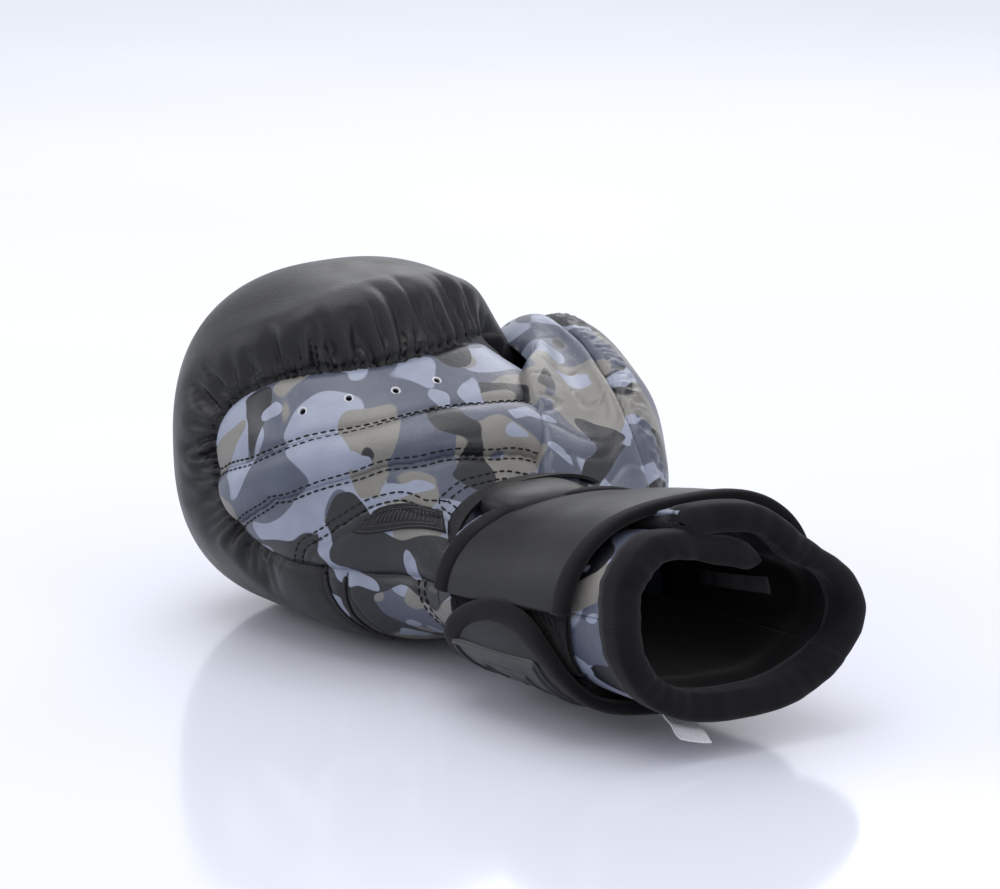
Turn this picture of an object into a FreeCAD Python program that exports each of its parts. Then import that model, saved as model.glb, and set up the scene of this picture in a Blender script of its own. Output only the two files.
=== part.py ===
import FreeCAD, Part
import math
import os

# Right-hand boxing glove, lying on the back of the hand.
# Frame: +X towards the cuff mouth, -X the knuckles, +Y the thumb, +Z the palm.
# Origin: middle of the bounding box, on the surface that the glove lies on.

doc = FreeCAD.newDocument("boxing_glove")
sheet = doc.addObject("Spreadsheet::Sheet", "sizes")

SIZES = {
    # mitt
    "hand_y": -15.0,
    "nose_x": -93.0,
    "nose_long": 52.0,
    "fist_half_wide": 71.5,
    "fist_mid_z": 67.25,
    "fist_half_tall": 68.45,
    "leather": 2.2,
    "ply_gap": 0.2,
    "foam_layer": 12.0,
    "foam_split_z": 70.0,
    "core_end_x": -8.0,
    "palm_edge_x": -79.0,
    "palm_edge_lean": 27.0,
    "palm_seam_z": 43.0,
    "grip_front_x": -11.0,
    "grip_rear_x": 15.0,
    "grip_skew": 22.0,
    "grip_rise": 2.6,
    "heel_x": -28.0,
    "heel_lean": 50.0,
    "piping_x": -20.0,
    "piping_wide": 1.6,
    "wrist_split_y": -10.0,
    "vent_radius": 1.6,
    "vent_pitch": 19.0,
    "vent_x": -33.0,
    "vent_y": -50.0,
    # thumb
    "thumb_tip_x": -62.0,
    "thumb_tip_y": 66.0,
    "thumb_tip_z": 84.0,
    "thumb_root_x": 12.0,
    "thumb_root_y": 16.0,
    "thumb_root_z": 49.0,
    "thumb_room_radius": 11.5,
    "thumb_split_y": 66.0,
    "thumb_slope": -15.5,
    "thumb_back_z": 72.0,
    "lock_x": -64.0,
    "lock_y": 44.0,
    "lock_z": 98.0,
    "lock_long": 12.0,
    # cuff
    "wrist_x": 25.0,
    "mouth_x": 134.8,
    "cuff_skew": 7.0,
    "mouth_lean": 12.0,
    "cuff_mid_z": 47.0,
    "cuff_half_wide": 46.0,
    "cuff_half_tall": 34.0,
    "cuff_leather": 1.6,
    "cuff_foam": 4.8,
    "lining": 1.2,
    "binding_wide": 9.0,
    "binding_proud": 1.2,
    "slit_y": -10.0,
    "slit_gap": 4.0,
    "slit_end_x": 60.0,
    "anchor_z": 50.0,
    "flap_hinge_z": 62.0,
    # strap
    "strap_x": 75.0,
    "strap_wide": 76.0,
    "strap_lift": 2.6,
    "strap_thick": 2.8,
    "strap_edge": 5.0,
    "strap_hinge_z": 47.0,
    "tab_hinge_y": -27.0,
    "tab_top_z": 46.0,
    "pile": 1.0,
    "plate_long": 48.0,
    "plate_thick": 1.4,
    # trim
    "patch_thick": 0.8,
    "patch_x": 0.5,
    "patch_long": 24.0,
    "patch_low": 55.0,
    "patch_high": 67.0,
    "label_long": 14.0,
    "label_wide": 12.0,
    "label_thick": 0.6,
    "tongue_radius": 10.0,
    "tongue_thick": 1.4,
}
for row, (alias, value) in enumerate(SIZES.items(), start=1):
    sheet.set(f"A{row}", alias)
    sheet.set(f"B{row}", str(value))
    sheet.setAlias(f"B{row}", alias)
doc.recompute()

FAR = 300.0
SECTION_POWER = 2.5
NOSE_POWER = 2.7
SEAM_ANGLE = math.radians(-60)
nodes = []


def size(alias):
    """A driving dimension, read from the sheet."""
    return float(sheet.get(alias))


HAND_Y = size("hand_y")
CUFF_Z = size("cuff_mid_z")
LEATHER = size("leather")
GAP = size("ply_gap")


# ---------------------------------------------------------------- helpers

def add(kind, name, **properties):
    """A document object with its properties set."""
    thing = doc.addObject(kind, name)
    for key, value in properties.items():
        setattr(thing, key, value)
    return thing


def node(thing, label):
    """Marks a finished sub-part: its Label names its file."""
    thing.Label = label
    nodes.append(thing)
    return thing


def cut(name, base, tool):
    return add("Part::Cut", name, Base=base, Tool=tool)


def common(name, *shapes):
    return add("Part::MultiCommon", name, Shapes=list(shapes))


def fuse(name, *shapes):
    return add("Part::MultiFuse", name, Shapes=list(shapes))


def block(name, low, high):
    """A box between two corners given as sheet expressions."""
    thing = add("Part::Box", name)
    for axis, side, start, stop in zip("xyz", ("Length", "Width", "Height"), low, high):
        thing.setExpression(f"Placement.Base.{axis}", str(start))
        thing.setExpression(side, f"({stop}) - ({start})")
    return thing


def half_space(name, x, y, z, axis, angle, reach):
    """A large box that starts at (x, y, z), turned about that point, and lies on one side of it."""
    thing = add("Part::Box", name, Length=FAR, Width=2 * FAR, Height=2 * FAR)
    turn = FreeCAD.Rotation(FreeCAD.Vector(*axis), angle)
    corner = FreeCAD.Vector(0 if reach > 0 else -FAR, -FAR, -FAR)
    thing.Placement = FreeCAD.Placement(FreeCAD.Vector(x, y, z) + turn.multVec(corner), turn)
    return thing


def oval(x, mid_y, mid_z, half_y, half_z, power=SECTION_POWER, count=20):
    """A closed superellipse wire in the plane X = x."""
    points = []
    for step in range(count):
        angle = SEAM_ANGLE + 2 * math.pi * step / count
        across, up = math.cos(angle), math.sin(angle)
        y = math.copysign(abs(across) ** (2 / power), across) * half_y
        z = math.copysign(abs(up) ** (2 / power), up) * half_z
        points.append(FreeCAD.Vector(x, mid_y + y, mid_z + z))
    curve = Part.BSplineCurve()
    curve.interpolate(points, True)
    return Part.Wire([curve.toShape()])


def loft(name, wires):
    """A solid loft through wires, each kept as an object of its own."""
    sections = [add("Part::Feature", f"{name}_section", Shape=wire) for wire in wires]
    return add("Part::Loft", name, Sections=sections, Solid=True, Ruled=False)


# ---------------------------------------------------------------- hand shapes

# stations behind the fist's widest point: x, half width, lowest z, highest z, deepest inset
REAR_STATIONS = [
    (-70.0, 71.5, -1.2, 134.5, 20.0),
    (-45.0, 69.0, -1.0, 120.0, 20.0),
    (-20.0, 60.0, 3.0, 104.0, 16.0),
    (5.0, 49.5, 10.0, 90.0, 8.5),
]
WRIST_INSET = 6.6


def mitt(name, inset):
    """The fist and wrist as one solid, shrunk by inset."""
    wires = []
    for angle in (88, 72, 52, 30, 0):
        reach = math.sin(math.radians(angle))
        shrink = (1 - reach ** NOSE_POWER) ** (1 / NOSE_POWER)
        x = size("nose_x") - (size("nose_long") - inset) * reach
        wide = (size("fist_half_wide") - inset) * shrink
        tall = (size("fist_half_tall") - inset) * shrink
        wires.append(oval(x, HAND_Y, size("fist_mid_z"), wide, tall))
    for x, wide, low, high, deepest in REAR_STATIONS:
        depth = min(inset, deepest)
        wires.append(oval(x, HAND_Y, (low + high) / 2, wide - depth, (high - low) / 2 - depth))
    wide = size("cuff_half_wide") - min(inset, WRIST_INSET)
    tall = size("cuff_half_tall") - min(inset, WRIST_INSET)
    wires.append(oval(size("wrist_x"), HAND_Y, CUFF_Z, wide, tall))
    return loft(name, wires)


def hand_pocket(name, grow):
    """The room for the hand inside the mitt, grown by grow."""
    wires = []
    for x, mid_z, wide, tall in ((-92, 40, 12, 6), (-84, 40, 28, 13), (-60, 40, 34, 17),
                                 (-20, 42, 36, 19), (10, 46, 37.2, 24), (25, 47, 37.8, 25.8)):
        x = x - grow if x < -80 else x
        wires.append(oval(x, HAND_Y, mid_z, wide + grow, tall + grow))
    return loft(name, wires)


def thumb_body(name, inset):
    """The thumb's lobe beside the fist, shrunk by inset."""
    wires = []
    for x, mid_y, mid_z, wide, tall in ((-97, 63, 88, 4, 4), (-93, 63, 88, 12, 12), (-84, 63.5, 88, 18, 18.5),
                                        (-70, 63.5, 87, 23.5, 22.5), (-45, 60, 82, 24, 25),
                                        (-15, 51, 71, 24, 27), (10, 40, 61, 20, 26), (24, 32, 54, 14, 22)):
        x = x + inset if x < -80 else x - inset * (x > 20)
        shrink = inset * min(1.0, wide / 12)
        wires.append(oval(x, mid_y, mid_z, wide - shrink, tall - shrink, power=2.0, count=12))
    return loft(name, wires)


def thumb_pocket(name, grow):
    """The thumb's room: a round-ended hole from the hand pocket to the thumb's tip, grown by grow."""
    tip = FreeCAD.Vector(size("thumb_tip_x"), size("thumb_tip_y"), size("thumb_tip_z"))
    root = FreeCAD.Vector(size("thumb_root_x"), size("thumb_root_y"), size("thumb_root_z"))
    along = root - tip
    end = add("Part::Sphere", f"{name}_end")
    end.setExpression("Radius", f"sizes.thumb_room_radius + {grow}")
    end.Placement = FreeCAD.Placement(tip, FreeCAD.Rotation())
    hole = add("Part::Cylinder", f"{name}_hole", Height=along.Length)
    hole.setExpression("Radius", f"sizes.thumb_room_radius + {grow}")
    hole.Placement = FreeCAD.Placement(tip, FreeCAD.Rotation(FreeCAD.Vector(0, 0, 1), along))
    return fuse(name, end, hole)


def tube(name, offset, start="sizes.wrist_x + sizes.ply_gap", stop="sizes.mouth_x + 25"):
    """The cuff's oval run along X, grown by offset."""
    wide = size("cuff_half_wide") + offset
    tall = size("cuff_half_tall") + offset
    face = Part.Face(oval(0.0, HAND_Y, CUFF_Z, wide, tall))
    profile = add("Part::Feature", f"{name}_face", Shape=face)
    along = FreeCAD.Vector(1, 0, 0)
    thing = add("Part::Extrusion", name, Base=profile, DirMode="Custom", Dir=along, Solid=True)
    thing.setExpression("LengthFwd", f"({stop}) - ({start})")
    thing.setExpression("Placement.Base.x", start)
    return thing


def ring(name, outer, inner):
    """A tube wall between two offsets from the cuff's oval."""
    return cut(name, tube(f"{name}_outer", outer), tube(f"{name}_bore", inner))


def slab(name, start, stop):
    """A skewed slice of the cuff between two stations on its centre line."""
    thing = add("Part::Box", name, Width=2 * FAR, Height=2 * FAR)
    turn = FreeCAD.Rotation(FreeCAD.Vector(0, 0, 1), -size("cuff_skew"))
    side = turn.multVec(FreeCAD.Vector(0, FAR, 0))
    thing.Placement = FreeCAD.Placement(FreeCAD.Vector(0, HAND_Y - side.y, CUFF_Z - FAR), turn)
    thing.setExpression("Placement.Base.x", f"({start}) - ({side.x})")
    thing.setExpression("Length", f"(({stop}) - ({start})) * cos(sizes.cuff_skew)")
    return thing


def mouth_side(name, back_by, reach):
    """The space behind (reach -1) or beyond (reach 1) the cuff's slanted mouth plane."""
    turn = FreeCAD.Rotation(FreeCAD.Vector(0, 0, 1), -size("cuff_skew")).multiply(
        FreeCAD.Rotation(FreeCAD.Vector(0, 1, 0), -size("mouth_lean")))
    thing = add("Part::Box", name, Length=FAR, Width=2 * FAR, Height=2 * FAR)
    corner = turn.multVec(FreeCAD.Vector(0 if reach > 0 else -FAR, -FAR, -FAR))
    middle = FreeCAD.Vector(size("mouth_x") - back_by, HAND_Y, CUFF_Z)
    thing.Placement = FreeCAD.Placement(middle + corner, turn)
    return thing


# ---------------------------------------------------------------- shared solids and regions

skin_outside = mitt("skin_outside", 0.0)
skin_inside = mitt("skin_inside", LEATHER)
foam_outside = mitt("foam_outside", LEATHER + GAP)
core_outside = mitt("core_outside", LEATHER + GAP + size("foam_layer"))
core_inside = mitt("core_inside", LEATHER + 2 * GAP + size("foam_layer"))
mitt_clear = mitt("mitt_clear", -1.5 * GAP)
trim_outside = mitt("trim_outside", -GAP - size("patch_thick"))
trim_inside = mitt("trim_inside", -GAP)

hand_room = hand_pocket("hand_room", 0.0)
hand_lining_outside = hand_pocket("hand_lining_outside", size("lining"))
hand_lining_clear = hand_pocket("hand_lining_clear", size("lining") + GAP)
thumb_room = thumb_pocket("thumb_room", 0.0)
thumb_lining_outside = thumb_pocket("thumb_lining_outside", size("lining"))
thumb_lining_clear = thumb_pocket("thumb_lining_clear", size("lining") + GAP)
thumb_clear = thumb_body("thumb_clear", -GAP)

floor_down = block("floor_down", (-FAR, -FAR, -FAR), (FAR, FAR, 0))
back_side = block("back_side", (-FAR, -FAR, -FAR), (FAR, FAR, "sizes.palm_seam_z"))
palm_above = block("palm_above", (-FAR, -FAR, "sizes.palm_seam_z + sizes.ply_gap"), (FAR, FAR, FAR))
palm_behind = half_space("palm_behind", size("palm_edge_x"), 0, size("palm_seam_z"), (0, 1, 0),
                         size("palm_edge_lean"), 1)
palm_region = common("palm_region", palm_above, palm_behind)
palm_cutter_above = block("palm_cutter_above", (-FAR, -FAR, "sizes.palm_seam_z"), (FAR, FAR, FAR))
palm_cutter_behind = half_space("palm_cutter_behind", size("palm_edge_x") - GAP, 0, size("palm_seam_z"),
                                (0, 1, 0), size("palm_edge_lean"), 1)
palm_cutter = common("palm_cutter", palm_cutter_above, palm_cutter_behind)


def crossing(name, x, reach):
    """The half space in front of or behind a seam that crosses the palm."""
    return half_space(name, x, HAND_Y, 0, (0, 0, 1), -size("grip_skew"), reach)


def heel_side(name, x):
    """The half space behind the slanted seam that sets off the heel of the palm."""
    return half_space(name, x, 0, size("palm_seam_z"), (0, 1, 0), size("heel_lean"), 1)


# ---------------------------------------------------------------- mitt

def make_outer_shell():
    skin = cut("skin", cut("skin_hollow", skin_outside, skin_inside), floor_down)
    shell = cut("shell_no_palm", skin, palm_cutter)
    wrist = block("shell_wrist", ("sizes.piping_x", -FAR, -FAR), (FAR, FAR, FAR))
    shell = cut("shell_no_wrist", shell, wrist)
    node(cut("outer_shell", shell, thumb_lining_clear), "outer_shell")
    return skin


def make_palm_panels(skin):
    area = cut("palm_skin", common("palm_area", skin, palm_region), thumb_lining_clear)
    front, rear = size("grip_front_x"), size("grip_rear_x")
    fingers = common("finger_area", area, crossing("before_grip", front - GAP, -1))
    vents = []
    for step in range(4):
        vent = add("Part::Cylinder", f"vent_{step}", Height=120.0)
        vent.setExpression("Radius", "sizes.vent_radius")
        lean = f"{step} * sizes.vent_pitch * tan(sizes.grip_skew / 3)"
        vent.setExpression("Placement.Base.x", f"sizes.vent_x + {lean}")
        vent.setExpression("Placement.Base.y", f"sizes.vent_y + {step} * sizes.vent_pitch")
        vent.setExpression("Placement.Base.z", "sizes.foam_split_z + 10")
        vents.append(vent)
    node(cut("finger_panel", fingers, fuse("vents", *vents)), "palm_finger_panel")
    behind_front = crossing("behind_grip_front", front, 1)
    before_rear = crossing("before_grip_rear", rear, -1)
    raised = mitt("grip_raised", -size("grip_rise"))
    cover = cut("grip_wall", raised, mitt("grip_under", LEATHER - size("grip_rise")))
    bar = common("grip_panel", cover, palm_region, behind_front, before_rear)
    node(cut("grip_panel_open", bar, thumb_clear), "grip_bar_panel")
    pad_top = mitt("grip_pad_top", LEATHER - size("grip_rise") + GAP)
    pad = cut("grip_pad_wall", pad_top, mitt("grip_pad_low", LEATHER))
    pad = common("grip_pad", pad, palm_region, behind_front, before_rear)
    node(cut("grip_pad_open", pad, thumb_lining_clear), "grip_bar_foam")
    behind = common("behind_area", area, crossing("behind_grip", rear + GAP, 1))
    node(cut("centre_area", behind, heel_side("heel_cutter_side", size("heel_x") - GAP)), "palm_center_panel")
    node(common("heel_area", behind, heel_side("heel_area_side", size("heel_x"))), "palm_heel_panel")


def make_wrist_panels(skin):
    strip = block("wrist_span", ("sizes.piping_x + sizes.piping_wide + 2 * sizes.ply_gap", -FAR, -FAR),
                  (FAR, FAR, FAR))
    lower = common("wrist_low", skin, strip, back_side)
    pinky_half = block("wrist_pinky", (-FAR, -FAR, -FAR), (FAR, "sizes.wrist_split_y", FAR))
    thumb_half = block("wrist_thumb", (-FAR, "sizes.wrist_split_y + sizes.ply_gap", -FAR), (FAR, FAR, FAR))
    node(common("wrist_back", lower, pinky_half), "wrist_back_panel")
    node(common("wrist_side", lower, thumb_half), "wrist_side_panel")
    bead = cut("piping_wall", trim_outside, skin_inside)
    slot = block("piping_slot", ("sizes.piping_x + sizes.ply_gap", -FAR, -FAR),
                 ("sizes.piping_x + sizes.piping_wide + sizes.ply_gap", FAR, "sizes.palm_seam_z"))
    node(common("piping_bead", bead, slot), "wrist_piping")


def make_mitt_foam():
    layer = cut("foam_layer_wall", foam_outside, core_outside)
    layer = cut("foam_layer_clear", layer, thumb_lining_clear)
    layer = cut("foam_layer_open", layer, hand_lining_clear)
    node(cut("outer_foam", layer, palm_cutter), "knuckle_foam_outer")
    node(common("palm_pad", layer, palm_region), "palm_foam_pad")
    front = block("core_front", (-FAR, -FAR, -FAR), ("sizes.core_end_x", FAR, FAR))
    core = common("core_block", core_inside, front)
    split = "sizes.foam_split_z"
    low = block("core_low", (-FAR, -FAR, -FAR), (FAR, FAR, split))
    high = block("core_high", (-FAR, -FAR, f"{split} + sizes.ply_gap"), (FAR, FAR, FAR))
    open_core = cut("core_open", cut("core_hollow", core, hand_lining_clear), thumb_lining_clear)
    node(common("core_back", open_core, low), "knuckle_foam_inner")
    node(cut("core_roll_open", common("core_roll", core, high), thumb_lining_clear), "fingertip_roll_foam")


def make_linings():
    wall = cut("hand_wall", hand_lining_outside, hand_room)
    node(cut("hand_lining_open", wall, thumb_lining_outside), "hand_lining")
    wall = cut("thumb_cloth", thumb_lining_outside, thumb_room)
    node(cut("thumb_lining_open", wall, hand_lining_clear), "thumb_lining")


def make_palm_trim():
    patch = cut("patch_wall", trim_outside, trim_inside)
    label = block("label_area", ("sizes.patch_x", -FAR, "sizes.patch_low"),
                  ("sizes.patch_x + sizes.patch_long", "sizes.hand_y", "sizes.patch_high"))
    node(common("label_patch", patch, label), "palm_label")


# ---------------------------------------------------------------- thumb

def make_thumb():
    wall = cut("thumb_wall", thumb_body("thumb_full", 0.0), thumb_body("thumb_core", LEATHER))
    skin = cut("thumb_off_mitt", wall, mitt_clear)
    turn = size("thumb_slope")
    middle = size("thumb_split_y")
    palm_side = add("Part::Box", "thumb_palm_side", Length=2 * FAR, Width=FAR, Height=2 * FAR)
    outer_side = add("Part::Box", "thumb_outer_side", Length=2 * FAR, Width=FAR, Height=2 * FAR)
    rotation = FreeCAD.Rotation(FreeCAD.Vector(0, 0, 1), turn)
    for box, shift in ((palm_side, -FAR - GAP), (outer_side, 0.0)):
        corner = rotation.multVec(FreeCAD.Vector(-FAR, shift, -FAR))
        box.Placement = FreeCAD.Placement(FreeCAD.Vector(-75, middle, 0) + corner, rotation)
    upper = block("thumb_upper", (-FAR, -FAR, "sizes.thumb_back_z + sizes.ply_gap"), (FAR, FAR, FAR))
    lower = block("thumb_lower", (-FAR, -FAR, -FAR), (FAR, FAR, "sizes.thumb_back_z"))
    node(common("thumb_inner", skin, palm_side, upper), "thumb_inner_panel")
    node(common("thumb_outer", skin, outer_side, upper), "thumb_outer_panel")
    node(common("thumb_back", skin, lower), "thumb_back_panel")
    pad = cut("thumb_pad", thumb_body("thumb_foam_full", LEATHER + GAP), mitt_clear)
    node(cut("thumb_pad_open", pad, thumb_lining_clear), "thumb_foam")
    bridge = block("lock_bar", ("sizes.lock_x", "sizes.lock_y", "sizes.lock_z"),
                   ("sizes.lock_x + sizes.lock_long", "sizes.lock_y + 1.5 * sizes.lock_long",
                    "sizes.lock_z + 0.8 * sizes.lock_long"))
    bridge = cut("lock_off_mitt", bridge, mitt_clear)
    node(cut("lock_off_thumb", bridge, thumb_clear), "thumb_lock")


# ---------------------------------------------------------------- cuff

CUFF_IN = size("cuff_leather")
CUFF_FOAM_OUT = CUFF_IN + GAP
CUFF_FOAM_IN = CUFF_FOAM_OUT + size("cuff_foam")
CUFF_LINING_OUT = CUFF_FOAM_IN + GAP
CUFF_LINING_IN = CUFF_LINING_OUT + size("lining")

near_region = block("near_region", ("sizes.slit_end_x", -FAR, "sizes.anchor_z"),
                    (FAR, "sizes.slit_y", FAR))
flap_region = block("flap_region", ("sizes.slit_end_x", "sizes.slit_y + sizes.slit_gap", "sizes.flap_hinge_z"),
                    (FAR, FAR, FAR))
upper_cutter = fuse("upper_cutter",
                    block("near_cutter", ("sizes.slit_end_x - sizes.ply_gap", -FAR, "sizes.anchor_z - sizes.ply_gap"),
                          (FAR, "sizes.slit_y + sizes.slit_gap / 2", FAR)),
                    block("flap_cutter", ("sizes.slit_end_x - 2", "sizes.slit_y",
                                          "sizes.flap_hinge_z - 2 * sizes.ply_gap"), (FAR, FAR, FAR)))
heel_region = block("heel_region", (-FAR, -FAR, "sizes.anchor_z"), ("sizes.slit_end_x - 2", FAR, FAR))
heel_cutter = block("heel_cutter", (-FAR, -FAR, "sizes.anchor_z - sizes.ply_gap"),
                    ("sizes.slit_end_x", FAR, FAR))


def make_cuff():
    wall_end = mouth_side("wall_end", size("binding_wide") + GAP, -1)
    shell = common("cuff_shell", ring("cuff_skin", 0.0, -CUFF_IN), wall_end)
    foam = common("cuff_pad", ring("cuff_foam_ring", -CUFF_FOAM_OUT, -CUFF_FOAM_IN), wall_end)
    lining = common("cuff_cloth", ring("cuff_lining_ring", -CUFF_LINING_OUT, -CUFF_LINING_IN), wall_end)
    back = cut("cuff_back", cut("cuff_back_cut", shell, upper_cutter), heel_cutter)
    node(back, "cuff_back_shell")
    node(common("cuff_near", shell, near_region), "cuff_palm_shell")
    node(common("cuff_flap", shell, flap_region), "cuff_flap_shell")
    node(common("cuff_heel", shell, heel_region), "slit_reinforcement")
    node(cut("cuff_back_pad", foam, upper_cutter), "cuff_back_foam")
    node(common("cuff_near_pad", foam, near_region), "cuff_palm_foam")
    node(common("cuff_flap_pad", foam, flap_region), "cuff_flap_foam")
    near_lining = common("cuff_near_lining", lining, near_region)
    node(cut("cuff_back_lining", lining, upper_cutter), "cuff_lining")
    node(near_lining, "cuff_palm_lining")
    node(common("cuff_flap_cloth", lining, flap_region), "cuff_flap_lining")


def make_mouth_binding():
    proud = size("binding_proud")
    band = ring("binding_ring", proud, -CUFF_LINING_IN - proud)
    band = common("binding_band", band, mouth_side("binding_start", size("binding_wide"), 1),
                  mouth_side("binding_end", 0.0, -1))
    node(cut("mouth_tape", band, block("binding_flap", (-FAR, "sizes.slit_y", "sizes.flap_hinge_z - 0.4"),
                                       (FAR, FAR, FAR))), "mouth_binding")
    node(common("flap_tape", band, flap_region), "cuff_flap_binding")


def make_slit_tongue():
    body = doc.addObject("PartDesign::Body", "tongue_body")
    plane = next(item for item in body.Origin.OriginFeatures if item.Role == "XY_Plane")
    sketch = body.newObject("Sketcher::SketchObject", "tongue_outline")
    sketch.AttachmentSupport = [(plane, "")]
    sketch.MapMode = "FlatFace"
    radius = size("tongue_radius")
    centre = FreeCAD.Vector(0, 0, 0)
    circle = Part.Circle(centre, FreeCAD.Vector(0, 0, 1), radius)
    sketch.addGeometry(Part.ArcOfCircle(circle, math.pi / 2, 3 * math.pi / 2), False)
    sketch.addGeometry(Part.LineSegment(FreeCAD.Vector(0, -radius, 0), FreeCAD.Vector(0, radius, 0)), False)
    pad = body.newObject("PartDesign::Pad", "tongue_pad")
    pad.Profile = sketch
    pad.setExpression("Length", "sizes.tongue_thick")
    body.setExpression("Placement.Base.x", "sizes.strap_x - sizes.strap_wide / 2 - 1")
    body.setExpression("Placement.Base.y", "sizes.slit_y + sizes.slit_gap / 2")
    body.setExpression("Placement.Base.z", "sizes.cuff_mid_z + sizes.cuff_half_tall + 5 * sizes.ply_gap")
    doc.recompute()
    node(body, "slit_tongue")


def make_labels():
    care = add("Part::Box", "care_tag")
    care.setExpression("Length", "sizes.label_long")
    care.setExpression("Width", "sizes.label_wide")
    care.setExpression("Height", "sizes.label_thick")
    care.setExpression("Placement.Base.x", "sizes.mouth_x - sizes.binding_wide - 6")
    care.setExpression("Placement.Base.y", "sizes.hand_y - 15")
    care_z = "sizes.cuff_mid_z - sizes.cuff_half_tall - sizes.binding_proud - 0.8"
    care.setExpression("Placement.Base.z", care_z)
    node(care, "care_label")
    tag = add("Part::Box", "size_tag")
    tag.setExpression("Length", "sizes.label_long")
    tag.setExpression("Width", "sizes.label_wide")
    tag.setExpression("Height", "sizes.label_thick")
    tag.setExpression("Placement.Base.x", "sizes.mouth_x - sizes.binding_wide - 26")
    tag.setExpression("Placement.Base.y", "sizes.slit_y - 20")
    tag.setExpression("Placement.Base.z", "sizes.cuff_mid_z + sizes.cuff_half_tall - 13")
    node(tag, "size_label")


def make_loop_patch():
    pile = ring("loop_ring", 1.5 * GAP + size("pile"), 1.5 * GAP)
    area = block("loop_area", (-FAR, -FAR, "sizes.anchor_z - 32"), (FAR, "sizes.hand_y", "sizes.anchor_z"))
    span = slab("loop_span", "sizes.strap_x - sizes.strap_wide / 2 + 4",
                "sizes.strap_x + sizes.strap_wide / 2 - 4")
    node(common("loop_pile", pile, area, span), "loop_patch")


# ---------------------------------------------------------------- strap

STRAP_IN = size("strap_lift")
STRAP_OUT = STRAP_IN + size("strap_thick")
STRAP_START = "sizes.strap_x - sizes.strap_wide / 2"
STRAP_STOP = "sizes.strap_x + sizes.strap_wide / 2"


def tab_outline(name, trim):
    """The tab's rounded end, seen from the side, smaller by trim all round."""
    radius = size("strap_wide") / 2 - trim
    middle_z = size("tab_top_z") - size("strap_wide") / 2
    middle_x = size("strap_x") - 32 * math.tan(math.radians(size("cuff_skew")))
    drum = add("Part::Cylinder", f"{name}_drum", Radius=radius, Height=FAR)
    drum.Placement = FreeCAD.Placement(FreeCAD.Vector(middle_x, HAND_Y, middle_z),
                                       FreeCAD.Rotation(FreeCAD.Vector(1, 0, 0), 90))
    base = slab(f"{name}_base", f"{STRAP_START} + {trim}", f"{STRAP_STOP} - {trim}")
    low = block(f"{name}_low", (-FAR, -FAR, -FAR), (FAR, FAR, middle_z))
    return fuse(f"{name}_region", common(f"{name}_foot", base, low), drum)


def make_strap():
    web = ring("strap_web", STRAP_OUT, STRAP_IN)
    tape = ring("strap_tape", STRAP_OUT + 2 * GAP, STRAP_IN - 2 * GAP)
    edge = size("strap_edge")
    middle = slab("strap_middle", f"{STRAP_START} + {edge + GAP}", f"{STRAP_STOP} - {edge + GAP}")
    edges = fuse("strap_edges", slab("strap_front", STRAP_START, f"{STRAP_START} + {edge}"),
                 slab("strap_rear", f"{STRAP_STOP} - {edge}", STRAP_STOP))
    upper = fuse("upper_region",
                 block("upper_pinky", (-FAR, -FAR, "sizes.anchor_z + 1"), (FAR, "sizes.hand_y", FAR)),
                 block("upper_thumb", (-FAR, "sizes.hand_y", "sizes.strap_hinge_z + 0.3"), (FAR, FAR, FAR)))
    lower = block("lower_region", (-FAR, "sizes.tab_hinge_y + 0.3", -FAR),
                  (FAR, FAR, "sizes.strap_hinge_z - 0.3"))
    tab = block("tab_region", (-FAR, -FAR, -FAR), (FAR, "sizes.tab_hinge_y - 0.3", "sizes.tab_top_z"))
    node(common("palm_web", web, middle, upper), "strap_palm_section")
    node(common("palm_tape", tape, edges, upper), "strap_palm_binding")
    node(common("back_web", web, middle, lower), "strap_back_section")
    node(common("back_tape", tape, edges, lower), "strap_back_binding")
    inner_outline = tab_outline("tab_inner", edge + GAP)
    outer_outline = tab_outline("tab_outer", 0.0)
    node(common("tab_web", web, tab, inner_outline), "strap_tab")
    rim = cut("tab_rim_region", outer_outline, tab_outline("tab_rim_hole", edge))
    node(common("tab_rim", tape, tab, rim), "tab_binding")
    hooks = ring("hook_ring", STRAP_IN - GAP, STRAP_IN - GAP - size("pile") * 0.8)
    hook_area = block("hook_area", (-FAR, -FAR, "sizes.tab_top_z - 27"), (FAR, FAR, FAR))
    node(common("hook_pile", hooks, tab, tab_outline("hook", edge + 3), hook_area), "hook_patch")
    plate = ring("plate_ring", STRAP_OUT + GAP + size("plate_thick"), STRAP_OUT + GAP)
    span = slab("plate_span", "sizes.strap_x - sizes.plate_long / 2", "sizes.strap_x + sizes.plate_long / 2")
    area = block("plate_area", (-FAR, "sizes.hand_y - 46", -FAR), (FAR, "sizes.tab_hinge_y - 2", 28))
    node(common("plate", plate, span, area), "tab_plate")


# ---------------------------------------------------------------- build and write

full_skin = make_outer_shell()
make_palm_panels(full_skin)
make_wrist_panels(full_skin)
make_mitt_foam()
make_linings()
make_palm_trim()
make_thumb()
make_cuff()
make_mouth_binding()
make_slit_tongue()
make_labels()
make_loop_patch()
make_strap()
doc.recompute()

for thing in doc.Objects:
    if "Invalid" in thing.State or "Error" in thing.State:
        raise RuntimeError(f"{thing.Label} failed: {thing.State}")
for thing in nodes:
    if thing.Shape.isNull() or not thing.Shape.isValid() or not thing.Shape.Solids:
        raise RuntimeError(f"{thing.Label} is not a valid solid")

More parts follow.
